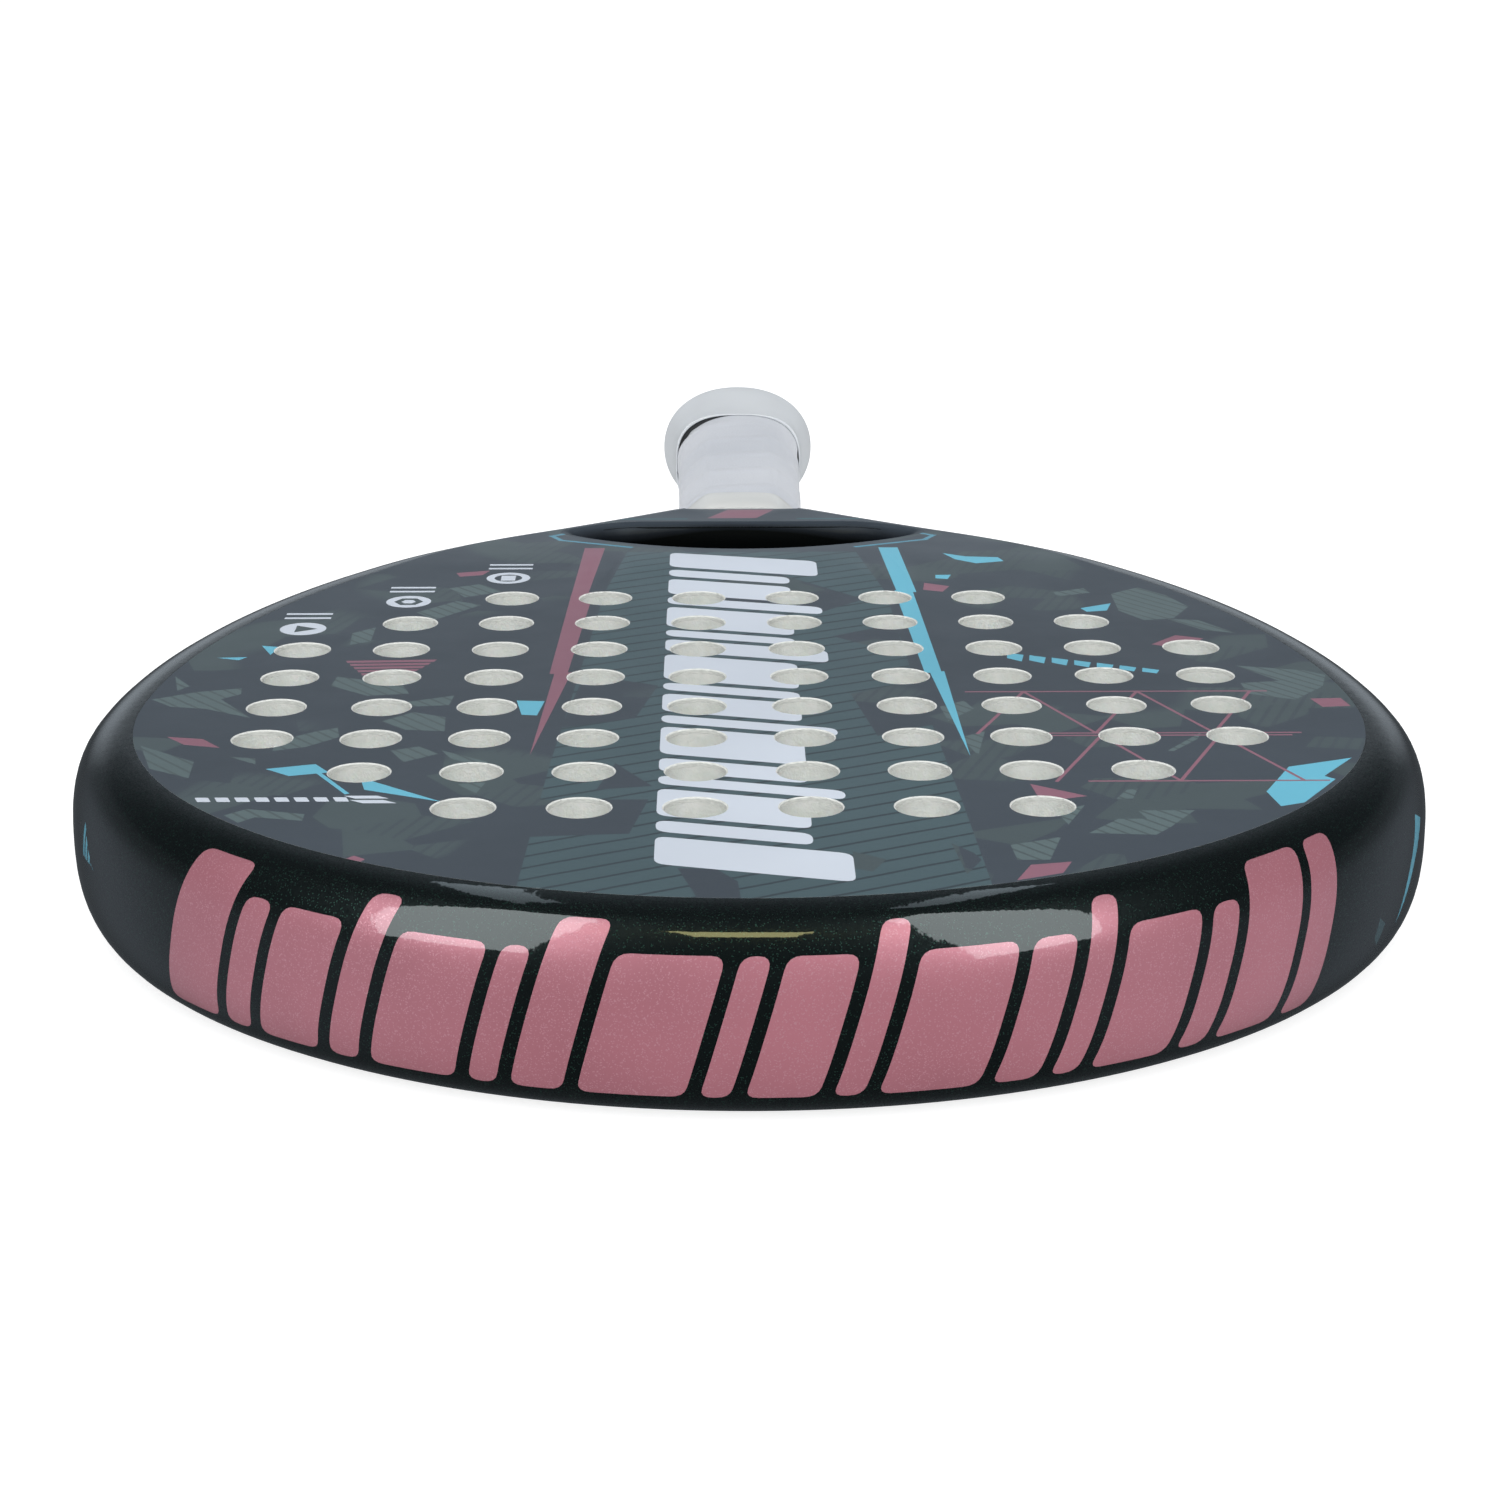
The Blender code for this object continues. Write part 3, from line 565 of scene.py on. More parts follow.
def plate(name, outlines, art, low, high, materials, chamfer=0, chamfered=(), loose=(), **tie):
    """A flat piece between heights low(y) and high(y), both over the table, painted on its high side."""
    verts, triangles, on_chamfer = triangulate(list(loose), outlines, art, chamfered)
    edge, cuts = Shape(outlines[0]), [Shape(cut) for cut in outlines[1:]]
    kept = []
    for triangle in triangles:
        middle = (verts[triangle[0]] + verts[triangle[1]] + verts[triangle[2]]) / 3
        if edge.holds(middle) and not any(cut.holds(middle) for cut in cuts):
            kept.append(triangle)
    names = painted(kept, verts, art, materials[0])
    side = materials.index("cut_laminate") if "cut_laminate" in materials else 0
    drop = math.copysign(chamfer, high(0) - low(0))

    bm = bmesh.new()
    tops, bottoms = {}, {}
    for triangle in kept:
        for i in triangle:
            if i not in tops:
                x, y = verts[i]
                z = high(y) - (drop if i in on_chamfer else 0)
                tops[i] = bm.verts.new(Vector((x, y, z)) * MM)
                bottoms[i] = bm.verts.new(Vector((x, y, low(y))) * MM)
    sides = {}
    for triangle, material in zip(kept, names):
        face = bm.faces.new([tops[i] for i in triangle])
        face.material_index = materials.index(material)
        face = bm.faces.new([bottoms[i] for i in reversed(triangle)])
        face.material_index = side
        for i in range(3):
            sides[triangle[i], triangle[(i + 1) % 3]] = True
    for a, b in sides:
        if (b, a) not in sides:
            face = bm.faces.new((tops[b], tops[a], bottoms[a], bottoms[b]))
            face.material_index = side
    new_piece(name, bm, materials, **tie)


def skin_rings(bm, made, cyclic):
    """Faces between each ring of vertices and the next."""
    pairs = list(zip(made, made[1:]))
    if cyclic:
        pairs.append((made[-1], made[0]))
    for a, b in pairs:
        for i in range(len(a)):
            j = (i + 1) % len(a)
            bm.faces.new((a[i], a[j], b[j], b[i]))


def loft(bm, rings, cyclic=False, caps=False):
    made = [[bm.verts.new(Vector(point) * MM) for point in ring] for ring in rings]
    skin_rings(bm, made, cyclic)
    if caps:
        bm.faces.new(made[0])
        bm.faces.new(made[-1])


def tube(name, rings, slot, node, **settings):
    """A closed tube: the rings run along its outside and back along its bore."""
    bm = bmesh.new()
    loft(bm, rings, cyclic=True)
    new_piece(name, bm, [slot], slot=slot, replaces=[node], **settings)


# ---- Materials ----


class Graph:
    """A material's node tree. Each call adds one node and links the inputs that are sockets."""

    def __init__(self, name):
        self.material = bpy.data.materials.new(name)
        self.material.use_nodes = True
        self.tree = self.material.node_tree
        self.tree.nodes.clear()
        self.place = self.new("TexCoord").outputs["Object"]

    def new(self, kind, inputs=None, **settings):
        node = self.tree.nodes.new("ShaderNode" + kind)
        for key, value in settings.items():
            setattr(node, key, value)
        for key, value in (inputs or {}).items():
            socket = node.inputs[key]
            if isinstance(value, bpy.types.NodeSocket):
                self.tree.links.new(value, socket)
            elif socket.type == "RGBA":
                socket.default_value = (*value, 1)
            else:
                socket.default_value = value
        return node

    def math(self, operation, a, b=0.0):
        return self.new("Math", {0: a, 1: b}, operation=operation).outputs[0]

    def noise(self, scale, detail, place=None):
        inputs = {"Vector": place or self.place, "Scale": scale, "Detail": detail}
        return self.new("TexNoise", inputs).outputs["Fac"]

    def voronoi(self, scale, **settings):
        return self.new("TexVoronoi", {"Vector": self.place, "Scale": scale}, **settings).outputs["Distance"]

    def scaled(self, factors, turn=0.0):
        inputs = {"Vector": self.place, "Scale": factors, "Rotation": (0, 0, turn)}
        return self.new("Mapping", inputs).outputs[0]

    def range(self, value, low, high, out_low=0.0, out_high=1.0):
        inputs = {"Value": value, "From Min": low, "From Max": high, "To Min": out_low, "To Max": out_high}
        return self.new("MapRange", inputs).outputs[0]

    def mix(self, share, a, b):
        node = self.new("Mix", data_type="RGBA")
        for index, value in ((0, share), (6, a), (7, b)):
            socket = node.inputs[index]
            if isinstance(value, bpy.types.NodeSocket):
                self.tree.links.new(value, socket)
            elif index:
                socket.default_value = (*value, 1)
            else:
                socket.default_value = value
        return node.outputs[2]

    def stripes(self, turn, spacing, share, wobble=0.0):
        """1 on thin parallel lines across the XY plane, spacing in metres."""
        x = self.new("SeparateXYZ", {0: self.scaled((1 / spacing,) * 3, turn)}).outputs["X"]
        if wobble:
            x = self.math("ADD", x, self.math("MULTIPLY", self.noise(40, 2), wobble))
        return self.math("LESS_THAN", self.math("FRACT", x), share)

    def bump(self, height, strength, distance):
        return self.new("Bump", {"Height": height, "Strength": strength, "Distance": distance}).outputs[0]

    def finish(self, **inputs):
        names = {key.replace("_", " "): value for key, value in inputs.items()}
        shader = self.new("BsdfPrincipled", names)
        self.new("OutputMaterial", {"Surface": shader.outputs[0]})
        return self.material


def satin(name, colour, fragments=None, hatch=None):
    """The satin lacquer of the faces, with fine orange peel on it.

    fragments is the tint of faint shards under it.
    hatch is (turn, spacing, share, tint) of thin lines.
    """
    g = Graph(name)
    ground = g.mix(g.range(g.noise(9, 3), 0.35, 0.65), colour, tuple(c * 1.16 for c in colour))
    if fragments:
        inputs = {"Vector": g.place, "Scale": (74, 96, 1), "Rotation": (0, 0, 0.7)}
        skewed = g.new("Mapping", inputs).outputs[0]
        cells = g.new("TexVoronoi", {"Vector": skewed, "Scale": 1.0}, voronoi_dimensions="2D")
        pick = g.new("SeparateXYZ", {0: cells.outputs["Color"]})
        cluster = g.range(g.noise(17, 1), 0.50, 0.53)
        mask = g.math("MULTIPLY", g.math("GREATER_THAN", pick.outputs["X"], 0.62), cluster)
        lined = g.math("GREATER_THAN", pick.outputs["Z"], 0.5)
        hatched = g.math("MULTIPLY", lined, g.stripes(0.35, 0.0026, 0.3))
        mask = g.math("MULTIPLY", mask, g.math("SUBTRACT", 1.0, g.math("MULTIPLY", hatched, 0.6)))
        ground = g.mix(mask, ground, fragments)
    if hatch:
        turn, spacing, share, tint = hatch
        ground = g.mix(g.stripes(turn, spacing, share, 0.25), ground, tint)
    rough = g.range(g.noise(60, 3), 0.3, 0.7, 0.33, 0.41)
    normal = g.bump(g.noise(2600, 2), 0.05, 0.0002)
    return g.finish(Base_Color=ground, Roughness=rough, Normal=normal, Coat_Weight=0.25, Coat_Roughness=0.28)


def gloss(name, colour, spark_colour, share=0.05, metal=0.5, rough=0.35, tilt=0.12, shine=0.5):
    """Metal-flake paint under clear gloss lacquer."""
    g = Graph(name)
    cells = g.new("TexVoronoi", {"Vector": g.place, "Scale": 5200.0})
    pick = g.new("SeparateXYZ", {0: cells.outputs["Color"]})
    spark = g.math("GREATER_THAN", pick.outputs["X"], 1 - share)
    patch = g.range(g.noise(24, 3), 0.35, 0.7)
    ground = g.mix(patch, colour, tuple(c * 1.2 for c in colour))
    paint = g.mix(spark, ground, spark_colour)
    off_centre = {0: cells.outputs["Color"], 1: (0.5, 0.5, 0.5)}
    lean = g.new("VectorMath", off_centre, operation="SUBTRACT").outputs[0]
    lean = g.new("VectorMath", {0: lean, "Scale": tilt}, operation="SCALE").outputs[0]
    normal = g.new("NewGeometry").outputs["Normal"]
    leaning = g.new("VectorMath", {0: normal, 1: lean}, operation="ADD").outputs[0]
    flake_normal = g.new("VectorMath", {0: leaning}, operation="NORMALIZE").outputs[0]
    peel = g.bump(g.noise(420, 2), 0.05, 0.0004)
    return g.finish(
        Base_Color=paint,
        Metallic=metal,
        Roughness=rough,
        Specular_IOR_Level=shine,
        Normal=flake_normal,
        Coat_Weight=1.0,
        Coat_Roughness=0.04,
        Coat_Normal=peel,
    )


def throat_satin_with_painted_shade():
    """The face's satin colour, darkened to near black inside the opening by painted shade that deepens with
    depth.
    """
    g = Graph("throat_satin_with_painted_shade")
    depth = g.new("Attribute", attribute_name="roll_depth").outputs["Fac"]
    cloud = g.math("MULTIPLY", g.math("SUBTRACT", g.noise(120, 3), 0.5), 0.8)
    sunk = g.math("ADD", depth, cloud)
    # Painted shade: satin colour at the lip, dark navy by 1.8 mm down, near black below, with an uneven edge.
    tint = g.mix(g.range(sunk, 0.0, 1.8), (0.036, 0.048, 0.063), (0.012, 0.0155, 0.021))
    tint = g.mix(g.range(sunk, 1.8, 4.2), tint, (0.0012, 0.0018, 0.0018))
    rough = g.range(sunk, 0.0, 4.0, 0.36, 0.5)
    shine = g.range(sunk, 0.0, 2.6, 0.5, 0.02)
    normal = g.bump(g.noise(2600, 2), 0.05, 0.0002)
    return g.finish(Base_Color=tint, Roughness=rough, Normal=normal, Specular_IOR_Level=shine)


def foam():
    """Closed-cell foam cut by a drill: fine pits and faint turning marks."""
    g = Graph("eva_foam")
    tint = g.mix(g.range(g.noise(300, 3), 0.3, 0.7), (0.70, 0.71, 0.66), (0.80, 0.80, 0.76))
    pits = g.voronoi(2200.0)
    height = g.math("ADD", g.math("MULTIPLY", pits, 0.6), g.noise(900, 3))
    pitted = g.bump(height, 0.35, 0.0003)
    return g.finish(Base_Color=tint, Roughness=0.75, Normal=pitted, Subsurface_Weight=0.1)


def cut_laminate():
    g = Graph("cut_laminate")
    fibres = g.noise(1, 4, place=g.scaled((900, 900, 7000)))
    tint = g.mix(g.range(fibres, 0.35, 0.65), (0.58, 0.59, 0.56), (0.76, 0.77, 0.73))
    return g.finish(Base_Color=tint, Roughness=0.6, Normal=g.bump(fibres, 0.3, 0.0002))


def tacky():
    """The overgrip: soft polyurethane with a fine pebbled skin."""
    g = Graph("overgrip")
    cloud = g.noise(30, 4)
    tint = g.mix(g.range(cloud, 0.3, 0.7), (0.53, 0.555, 0.60), (0.59, 0.61, 0.65))
    pebble = g.voronoi(1500.0, feature="SMOOTH_F1")
    fine = g.noise(5200, 2)
    height = g.math("ADD", pebble, g.math("MULTIPLY", fine, 0.35))
    rough = g.range(cloud, 0.3, 0.7, 0.5, 0.62)
    skin = g.bump(height, 0.22, 0.0002)
    return g.finish(Base_Color=tint, Roughness=rough, Normal=skin, Sheen_Weight=0.25, Sheen_Roughness=0.4)


def plastic(name, colour, rough=0.4, grain=0.15, coat=0.0):
    """Moulded plastic with a fine spark-eroded grain."""
    g = Graph(name)
    cloud = g.noise(25, 3)
    tint = g.mix(g.range(cloud, 0.3, 0.7), colour, tuple(min(1, c * 1.08) for c in colour))
    height = g.noise(3800, 3)
    polish = g.range(cloud, 0.3, 0.7, rough - 0.05, rough + 0.05)
    return g.finish(Base_Color=tint, Roughness=polish, Normal=g.bump(height, grain, 0.0002), Coat_Weight=coat)


def vinyl_tape():
    g = Graph("finishing_tape")
    cloud = g.noise(45, 3)
    tint = g.mix(g.range(cloud, 0.3, 0.7), (0.66, 0.67, 0.65), (0.73, 0.735, 0.71))
    stretch = g.noise(1, 3, place=g.scaled((60, 700, 60)))
    return g.finish(Base_Color=tint, Roughness=0.32, Normal=g.bump(stretch, 0.18, 0.0003), Coat_Weight=0.2)


def cord_yarn():
    g = Graph("strap_cord")
    fibre = g.noise(3200, 3)
    tint = g.mix(g.range(fibre, 0.3, 0.7), (0.010, 0.011, 0.013), (0.045, 0.048, 0.055))
    return g.finish(Base_Color=tint, Roughness=0.7, Normal=g.bump(fibre, 0.5, 0.0002), Sheen_Weight=0.3)


def wire_steel():
    g = Graph("staple_steel")
    drawn = g.noise(1, 3, place=g.scaled((300, 5000, 5000)))
    tint = g.mix(drawn, (0.45, 0.46, 0.48), (0.68, 0.69, 0.71))
    return g.finish(Base_Color=tint, Metallic=1.0, Roughness=0.3, Normal=g.bump(drawn, 0.2, 0.0001))


def rough_foam(name, colour):
    g = Graph(name)
    cells = g.voronoi(1400.0)
    tint = g.mix(cells, colour, tuple(c * 1.6 for c in colour))
    return g.finish(Base_Color=tint, Roughness=0.9, Normal=g.bump(cells, 0.4, 0.0003))


PANEL_LINES = (math.radians(62), 0.0052, 0.15, (0.026, 0.042, 0.052))
SHARD_LINES = (math.radians(-38), 0.0026, 0.22, (0.062, 0.086, 0.090))
MATERIALS = {
    "face_satin": satin("face_satin", (0.036, 0.048, 0.063), fragments=(0.056, 0.080, 0.086)),
    "face_shard": satin("face_shard", (0.086, 0.125, 0.128), hatch=SHARD_LINES),
    "face_panel": satin("face_panel", (0.050, 0.088, 0.100), hatch=PANEL_LINES),
    "face_white": satin("face_white", (0.58, 0.63, 0.70)),
    "face_rose": satin("face_rose", (0.245, 0.100, 0.140)),
    "face_cyan": satin("face_cyan", (0.115, 0.44, 0.58)),
    "face_blue": satin("face_blue", (0.075, 0.27, 0.37)),
    "face_teal": satin("face_teal", (0.03, 0.11, 0.13)),
    "rim_gloss": gloss("rim_gloss", (0.0025, 0.0052, 0.005), (0.012, 0.035, 0.026), 0.06, shine=0.15),
    "rim_rose": gloss("rim_rose", (0.405, 0.151, 0.187), (0.50, 0.23, 0.27), 0.12, 0.36, 0.36, 0.08),
    "rim_cyan": gloss("rim_cyan", (0.10, 0.42, 0.56), (0.3, 0.6, 0.7), 0.08, 0.3, 0.4),
    "rim_teal": gloss("rim_teal", (0.02, 0.06, 0.07), (0.1, 0.2, 0.2), 0.1),
    "throat_gloss": gloss("throat_gloss", (0.0024, 0.0036, 0.0033), (0.01, 0.02, 0.015), 0.05, 0.3, 0.4),
    "throat_satin_with_painted_shade": throat_satin_with_painted_shade(),
    "eva_foam": foam(),
    "cut_laminate": cut_laminate(),
    "overgrip": tacky(),
    "base_grip": plastic("base_grip", (0.018, 0.019, 0.021), 0.6, 0.4),
    "finishing_tape": vinyl_tape(),
    "cap_plastic": plastic("cap_plastic", (0.62, 0.645, 0.665), 0.42, 0.12),
    "strap_plastic": plastic("strap_plastic", (0.014, 0.015, 0.017), 0.38, 0.25),
    "strap_cord": cord_yarn(),
    "staple_steel": wire_steel(),
    "handle_foam": rough_foam("handle_foam", (0.07, 0.07, 0.08)),
    "handle_laminate": plastic("handle_laminate", (0.015, 0.015, 0.016), 0.35, 0.3, 0.3),
}
FACE_MATERIALS = [
    "face_satin", "face_shard", "face_panel", "face_white", "face_rose", "face_cyan", "face_blue",
    "face_teal", "cut_laminate",
]
RIM_MATERIALS = ["rim_gloss", "rim_rose", "rim_cyan", "rim_teal", "throat_gloss"]


# ---- The frame tube, with its artwork ----


class RimProfile:
    """The rim's rounded section, measured along its surface from mid-height."""

    def __init__(self):
        steps = 600
        self.angles = [math.pi / 2 * i / steps for i in range(steps + 1)]
        self.lengths = [0]
        places = [self.unit(angle) for angle in self.angles]
        for (i0, z0), (i1, z1) in zip(places, places[1:]):
            across = math.hypot((i1 - i0) * TIP_INSET, (z1 - z0) * HALF_T)
            self.lengths.append(self.lengths[-1] + across)
        self.half = self.lengths[-1]

    @staticmethod
    def unit(angle):
        """(inset, height), each from 0 to 1."""
        return 1 - math.cos(angle) ** (2 / RIM_POWER), math.sin(angle) ** (2 / RIM_POWER)

    def at(self, t):
        i = min(max(bisect.bisect(self.lengths, abs(t)) - 1, 0), len(self.lengths) - 2)
        share = (abs(t) - self.lengths[i]) / (self.lengths[i + 1] - self.lengths[i])
        angle = self.angles[i] + (self.angles[i + 1] - self.angles[i]) * min(1, share)
        inset, height = self.unit(min(angle, math.pi / 2))
        return inset, math.copysign(height, t) if t else 0.0


PROFILE = RimProfile()


def rim_point(s, t):
    """The rim surface's place and outward normal at a length along it and a length up its profile."""
    point, inward = EDGE.at(s)
    inset, height = PROFILE.at(t)
    depth, half_t = rim_inset(point.y), half_thickness(point.y)
    place = point + inward * depth * inset
    out = (1 - inset) ** (RIM_POWER - 1) / depth
    up = math.copysign(abs(height) ** (RIM_POWER - 1), height) / half_t
    normal = Vector((-inward.x * out, -inward.y * out, up)).normalized()
    return Vector((place.x, place.y, MID_Z + half_t * height)), normal


def inner_section(s):
    """The rest of the tube's section: the rebates that the faces sit in, and the inner wall."""
    point, inward = EDGE.at(s)
    depth, half_t, width = rim_inset(point.y), half_thickness(point.y), tube_width(point.y)
    land = half_t * (1 - REBATE / HALF_T)
    places = []
    for across, z in ((depth, land), (width, land), (width, -land), (depth, -land)):
        place = point + inward * across
        places.append(Vector((place.x, place.y, MID_Z + z)))
    return places


def build_rim():
    neck, end = EDGE.length_at_y(NECK_Y), EDGE.lengths[-1]
    count, half_rows = 106, 17
    half_columns = [neck * i / count for i in range(count + 1)] + [EDGE.lengths[-2], end]
    columns = [-s for s in reversed(half_columns[1:])] + half_columns
    rows = [PROFILE.half * j / half_rows for j in range(-half_rows, half_rows + 1)]
    grid = [Vector((s, t)) for s in columns for t in rows]
    art = rim_artwork()
    verts, triangles, _ = triangulate(grid, [], art)
    names = painted(triangles, verts, art, "rim_gloss")

    bm = bmesh.new()
    layer = bm.verts.layers.float_vector.new("lacquer_normal")
    made = []
    for s, t in verts:
        place, normal = rim_point(s, t)
        vert = bm.verts.new(place * MM)
        vert[layer] = normal
        made.append(vert)
    for triangle, name in zip(triangles, names):
        bm.faces.new([made[i] for i in triangle]).material_index = RIM_MATERIALS.index(name)
    inner = RIM_MATERIALS.index("throat_gloss")
    strips = []
    for s in columns:
        ends = [rim_point(s, PROFILE.half), rim_point(s, -PROFILE.half)]
        ring = [ends[0][0]] + inner_section(s) + [ends[1][0]]
        strip = [bm.verts.new(place * MM) for place in ring]
        strip[0][layer], strip[-1][layer] = ends[0][1], ends[1][1]
        strips.append(strip)
    for a, b in zip(strips, strips[1:]):
        for i in range(len(a) - 1):
            bm.faces.new((a[i], a[i + 1], b[i + 1], b[i])).material_index = inner
    bmesh.ops.remove_doubles(bm, verts=bm.verts, dist=1e-6)
    open_edges = [edge for edge in bm.edges if edge.is_boundary]
    filled = bmesh.ops.holes_fill(bm, edges=open_edges, sides=0)
    for face in filled["faces"]:
        face.material_index = inner
    rim = new_piece("rim", bm, RIM_MATERIALS, slot="rim_gloss", replaces=["frame_tube"])

    mesh = rim.data
    stored = mesh.attributes["lacquer_normal"].data
    normals = []
    for face in mesh.polygons:
        for loop in face.loop_indices:
            vert = mesh.vertices[mesh.loops[loop].vertex_index]
            outer = face.material_index != inner and not in_handle(vert.co.y / MM)
            normals.append(stored[vert.index].vector if outer else (0, 0, 0))
    mesh.normals_split_custom_set(normals)


# ---- Faces, foam core and throat ----


def opening_outline():
    edge = offset_edge(tube_width, 1.5)
    arc, meet_y = arc_to_edge(OPENING_R, edge)
    side = between(edge, meet_y + 0.5, OPENING_FAR_Y - 5)
    corner = between(edge, OPENING_FAR_Y - 4, OPENING_FAR_Y)[-1]
    right = arc + side[:-1] + rounded(side[-1], corner, Vector((corner.x - 6, OPENING_FAR_Y)), 6)
    return right + mirrored(right)[:-1]


def lining_loop():
    """The opening's outline with even points and soft corners, and the direction into the racket at each."""
    outline = opening_outline()
    loop = spread(outline + outline[:1], 0.75)[:-1]
    for _ in range(12):
        loop = [(a + 2 * b + c) / 4 for a, b, c in zip(loop[-1:] + loop, loop, loop[1:] + loop[:1])]
    outward = []
    for i in range(len(loop)):
        along = (loop[(i + 1) % len(loop)] - loop[i - 1]).normalized()
        outward.append(Vector((along.y, -along.x)))
    return loop, outward


def roll_radius(y):
    return ease(NEAR_ROLL_R, FAR_ROLL_R, (y - ROLL_START_Y) / ROLL_LENGTH)


def roll_overhang(y):
    """How far the lining stands into the opening from the tube and the bridge."""
    return ease(NEAR_OVERHANG, FAR_OVERHANG, (y - ROLL_START_Y) / ROLL_LENGTH)


def skin_surface(y, side):
    """The height of a face. Past the end of the arms it falls away to meet the finishing tape."""
    return MID_Z + side * (half_thickness(y) - NECK_FALL * max(0, y - ARM_END_Y))


def build_faces():
    flat_edge = offset_edge(lambda y: rim_inset(y) + HAIRLINE)
    right = [flat_edge[0]] + between(flat_edge, flat_edge[0].y, FACE_END_Y)
    right.append(Vector((NECK_X - LEG_INSET, FACE_END_Y)))
    outline = right + mirrored(right)[:-1]
    holes = [circle(x, y, HOLE_R) for x, y in hole_centres()]
    opening = [p + out * (roll_radius(p.y) - roll_overhang(p.y) + HAIRLINE) for p, out in zip(*lining_loop())]
    art = face_artwork()
    art += [("cut_laminate", circle(x, y, HOLE_R + 0.28)) for x, y in hole_centres()]
    slope = [Vector((x * 5, y)) for y in range(97, 176, 3) for x in range(-20, 21)]
    slope = [p for p in slope if Shape(outline).holds(p)]
    for name, side in (("front_skin", 1), ("back_skin", -1)):
        plate(
            name,
            [outline] + holes + [opening],
            art,
            lambda y: skin_surface(y, side) - side * FACE_T,
            lambda y: skin_surface(y, side),
            FACE_MATERIALS,
            chamfer=0.22,
            chamfered=range(1, len(holes) + 1),
            loose=slope,
            slot="face_satin",
            replaces=["front_face" if side > 0 else "back_face"],
        )


def build_lining():
    """
    The smooth lacquer that rolls from each face down into the throat opening, with painted shade that darkens
    it with depth.
    The painted shade is deeper in the middle of the racket, so roll_depth grows faster there.
    """
    bm = bmesh.new()
    layer = bm.verts.layers.float.new("roll_depth")
    made = []
    for point, out in zip(*lining_loop()):
        radius = roll_radius(point.y)
        lip, back = radius - roll_overhang(point.y), -HAIRLINE
        half = [(back, REBATE - 0.05), (lip, REBATE - 0.05)]
        for k in range(13):
            angle = math.pi / 2 * k / 12
            half.append((lip - radius * math.sin(angle), radius - radius * math.cos(angle)))
        ring = []
        for side, places in ((1, half), (-1, half[::-1])):
            for across, depth in places:
                place = point + out * across
                vert = bm.verts.new(Vector((*place, skin_surface(place.y, side) - side * depth)) * MM)
                # Painted shade: the depth that darkens the lacquer counts for more near the middle of the
                # racket.
                vert[layer] = depth * ease(SHADE_IN_MIDDLE, 1, abs(place.x) / SHADE_HALF_W)
                ring.append(vert)
        made.append(ring)
    skin_rings(bm, made, cyclic=True)
    new_piece("throat_lining", bm, ["throat_satin_with_painted_shade"], slot="throat_gloss", sharp=40)


def build_core():
    edge = offset_edge(lambda y: tube_width(y) + HAIRLINE)
    arc, meet_y = arc_to_edge(OPENING_R + BRIDGE_W + HAIRLINE, edge)
    side = [edge[0]] + between(edge, edge[0].y, meet_y - 1)
    right = side + arc[::-1]
    outline = right + mirrored(right)[1:-1]
    holes = [circle(x, y, HOLE_R) for x, y in hole_centres()]

    def top(y):
        return MID_Z + half_thickness(y) * (1 - REBATE / HALF_T) + 0.28

    plate(
        "foam_core",
        [outline] + holes,
        [],
        lambda y: 2 * MID_Z - top(y),
        top,
        ["eva_foam"],
        slot="eva_foam",
        replaces=["eva_core"],
    )


def build_throat():
    edge = offset_edge(lambda y: tube_width(y) + HAIRLINE, 1.5)
    near, near_y = arc_to_edge(OPENING_R + BRIDGE_W, edge)
    far, far_y = arc_to_edge(OPENING_R, edge)
    right = near + between(edge, near_y + 0.5, far_y - 0.5) + far[::-1]
    bridge = right + mirrored(right)[1:-1]
    wall = opening_outline()
    wall = sorted((p for p in wall if p.y > OPENING_FAR_Y - 5 and p.x >= 0), key=lambda p: p.x)
    side = between(edge, wall[-1].y + 0.5, NECK_Y + 1)
    right = wall + side
    wedge = right + mirrored(right)[:-1]

    def top(y):
        return MID_Z + half_thickness(min(y, NECK_Y)) * (1 - REBATE / HALF_T) + 0.2

    for name, outline, node in (("bridge", bridge, "throat_bridge"), ("neck_filler", wedge, "neck_wedge")):
        plate(
            name,
            [outline],
            [],
            lambda y: 2 * MID_Z - top(y),
            top,
            ["throat_gloss"],
            slot="throat_gloss",
            replaces=[node],
        )


# ---- Handle ----

# (y, half-width, half-thickness, chamfer distance, hardness of the corners) of the wrapped handle
GRIP_STATIONS = (
    (177, 15.3, 12.8, 15.1, 26),
    (193, 15.6, 13.0, 15.4, 24),
    (250, 16.2, 13.2, 15.9, 20),
    (278, 16.7, 13.6, 16.4, 12),
    (290, 16.9, 13.8, 16.6, 9),
)
CHAMFER_TURN = math.radians(48.6)
COLLAR_Y, COLLAR_DEPTH = CAP_LOW.y + 16.5, 4
FLARE_START_Y, FLARE_OVAL = COLLAR_Y - 9, (17.34, 14.29, 2.7)
# Dips in the end of the wrap, in degrees round the handle: (start, deepest, end, depth)
DENTS = ((92, 146, 171, 1.35), (184, 192, 200, 0.5), (0, 8, 18, 0.45))


def oval_radius(angle, half_w, half_t, power):
    c, s = abs(math.cos(angle)), abs(math.sin(angle))
    return ((c / half_w) ** power + (s / half_t) ** power) ** (-1 / power)


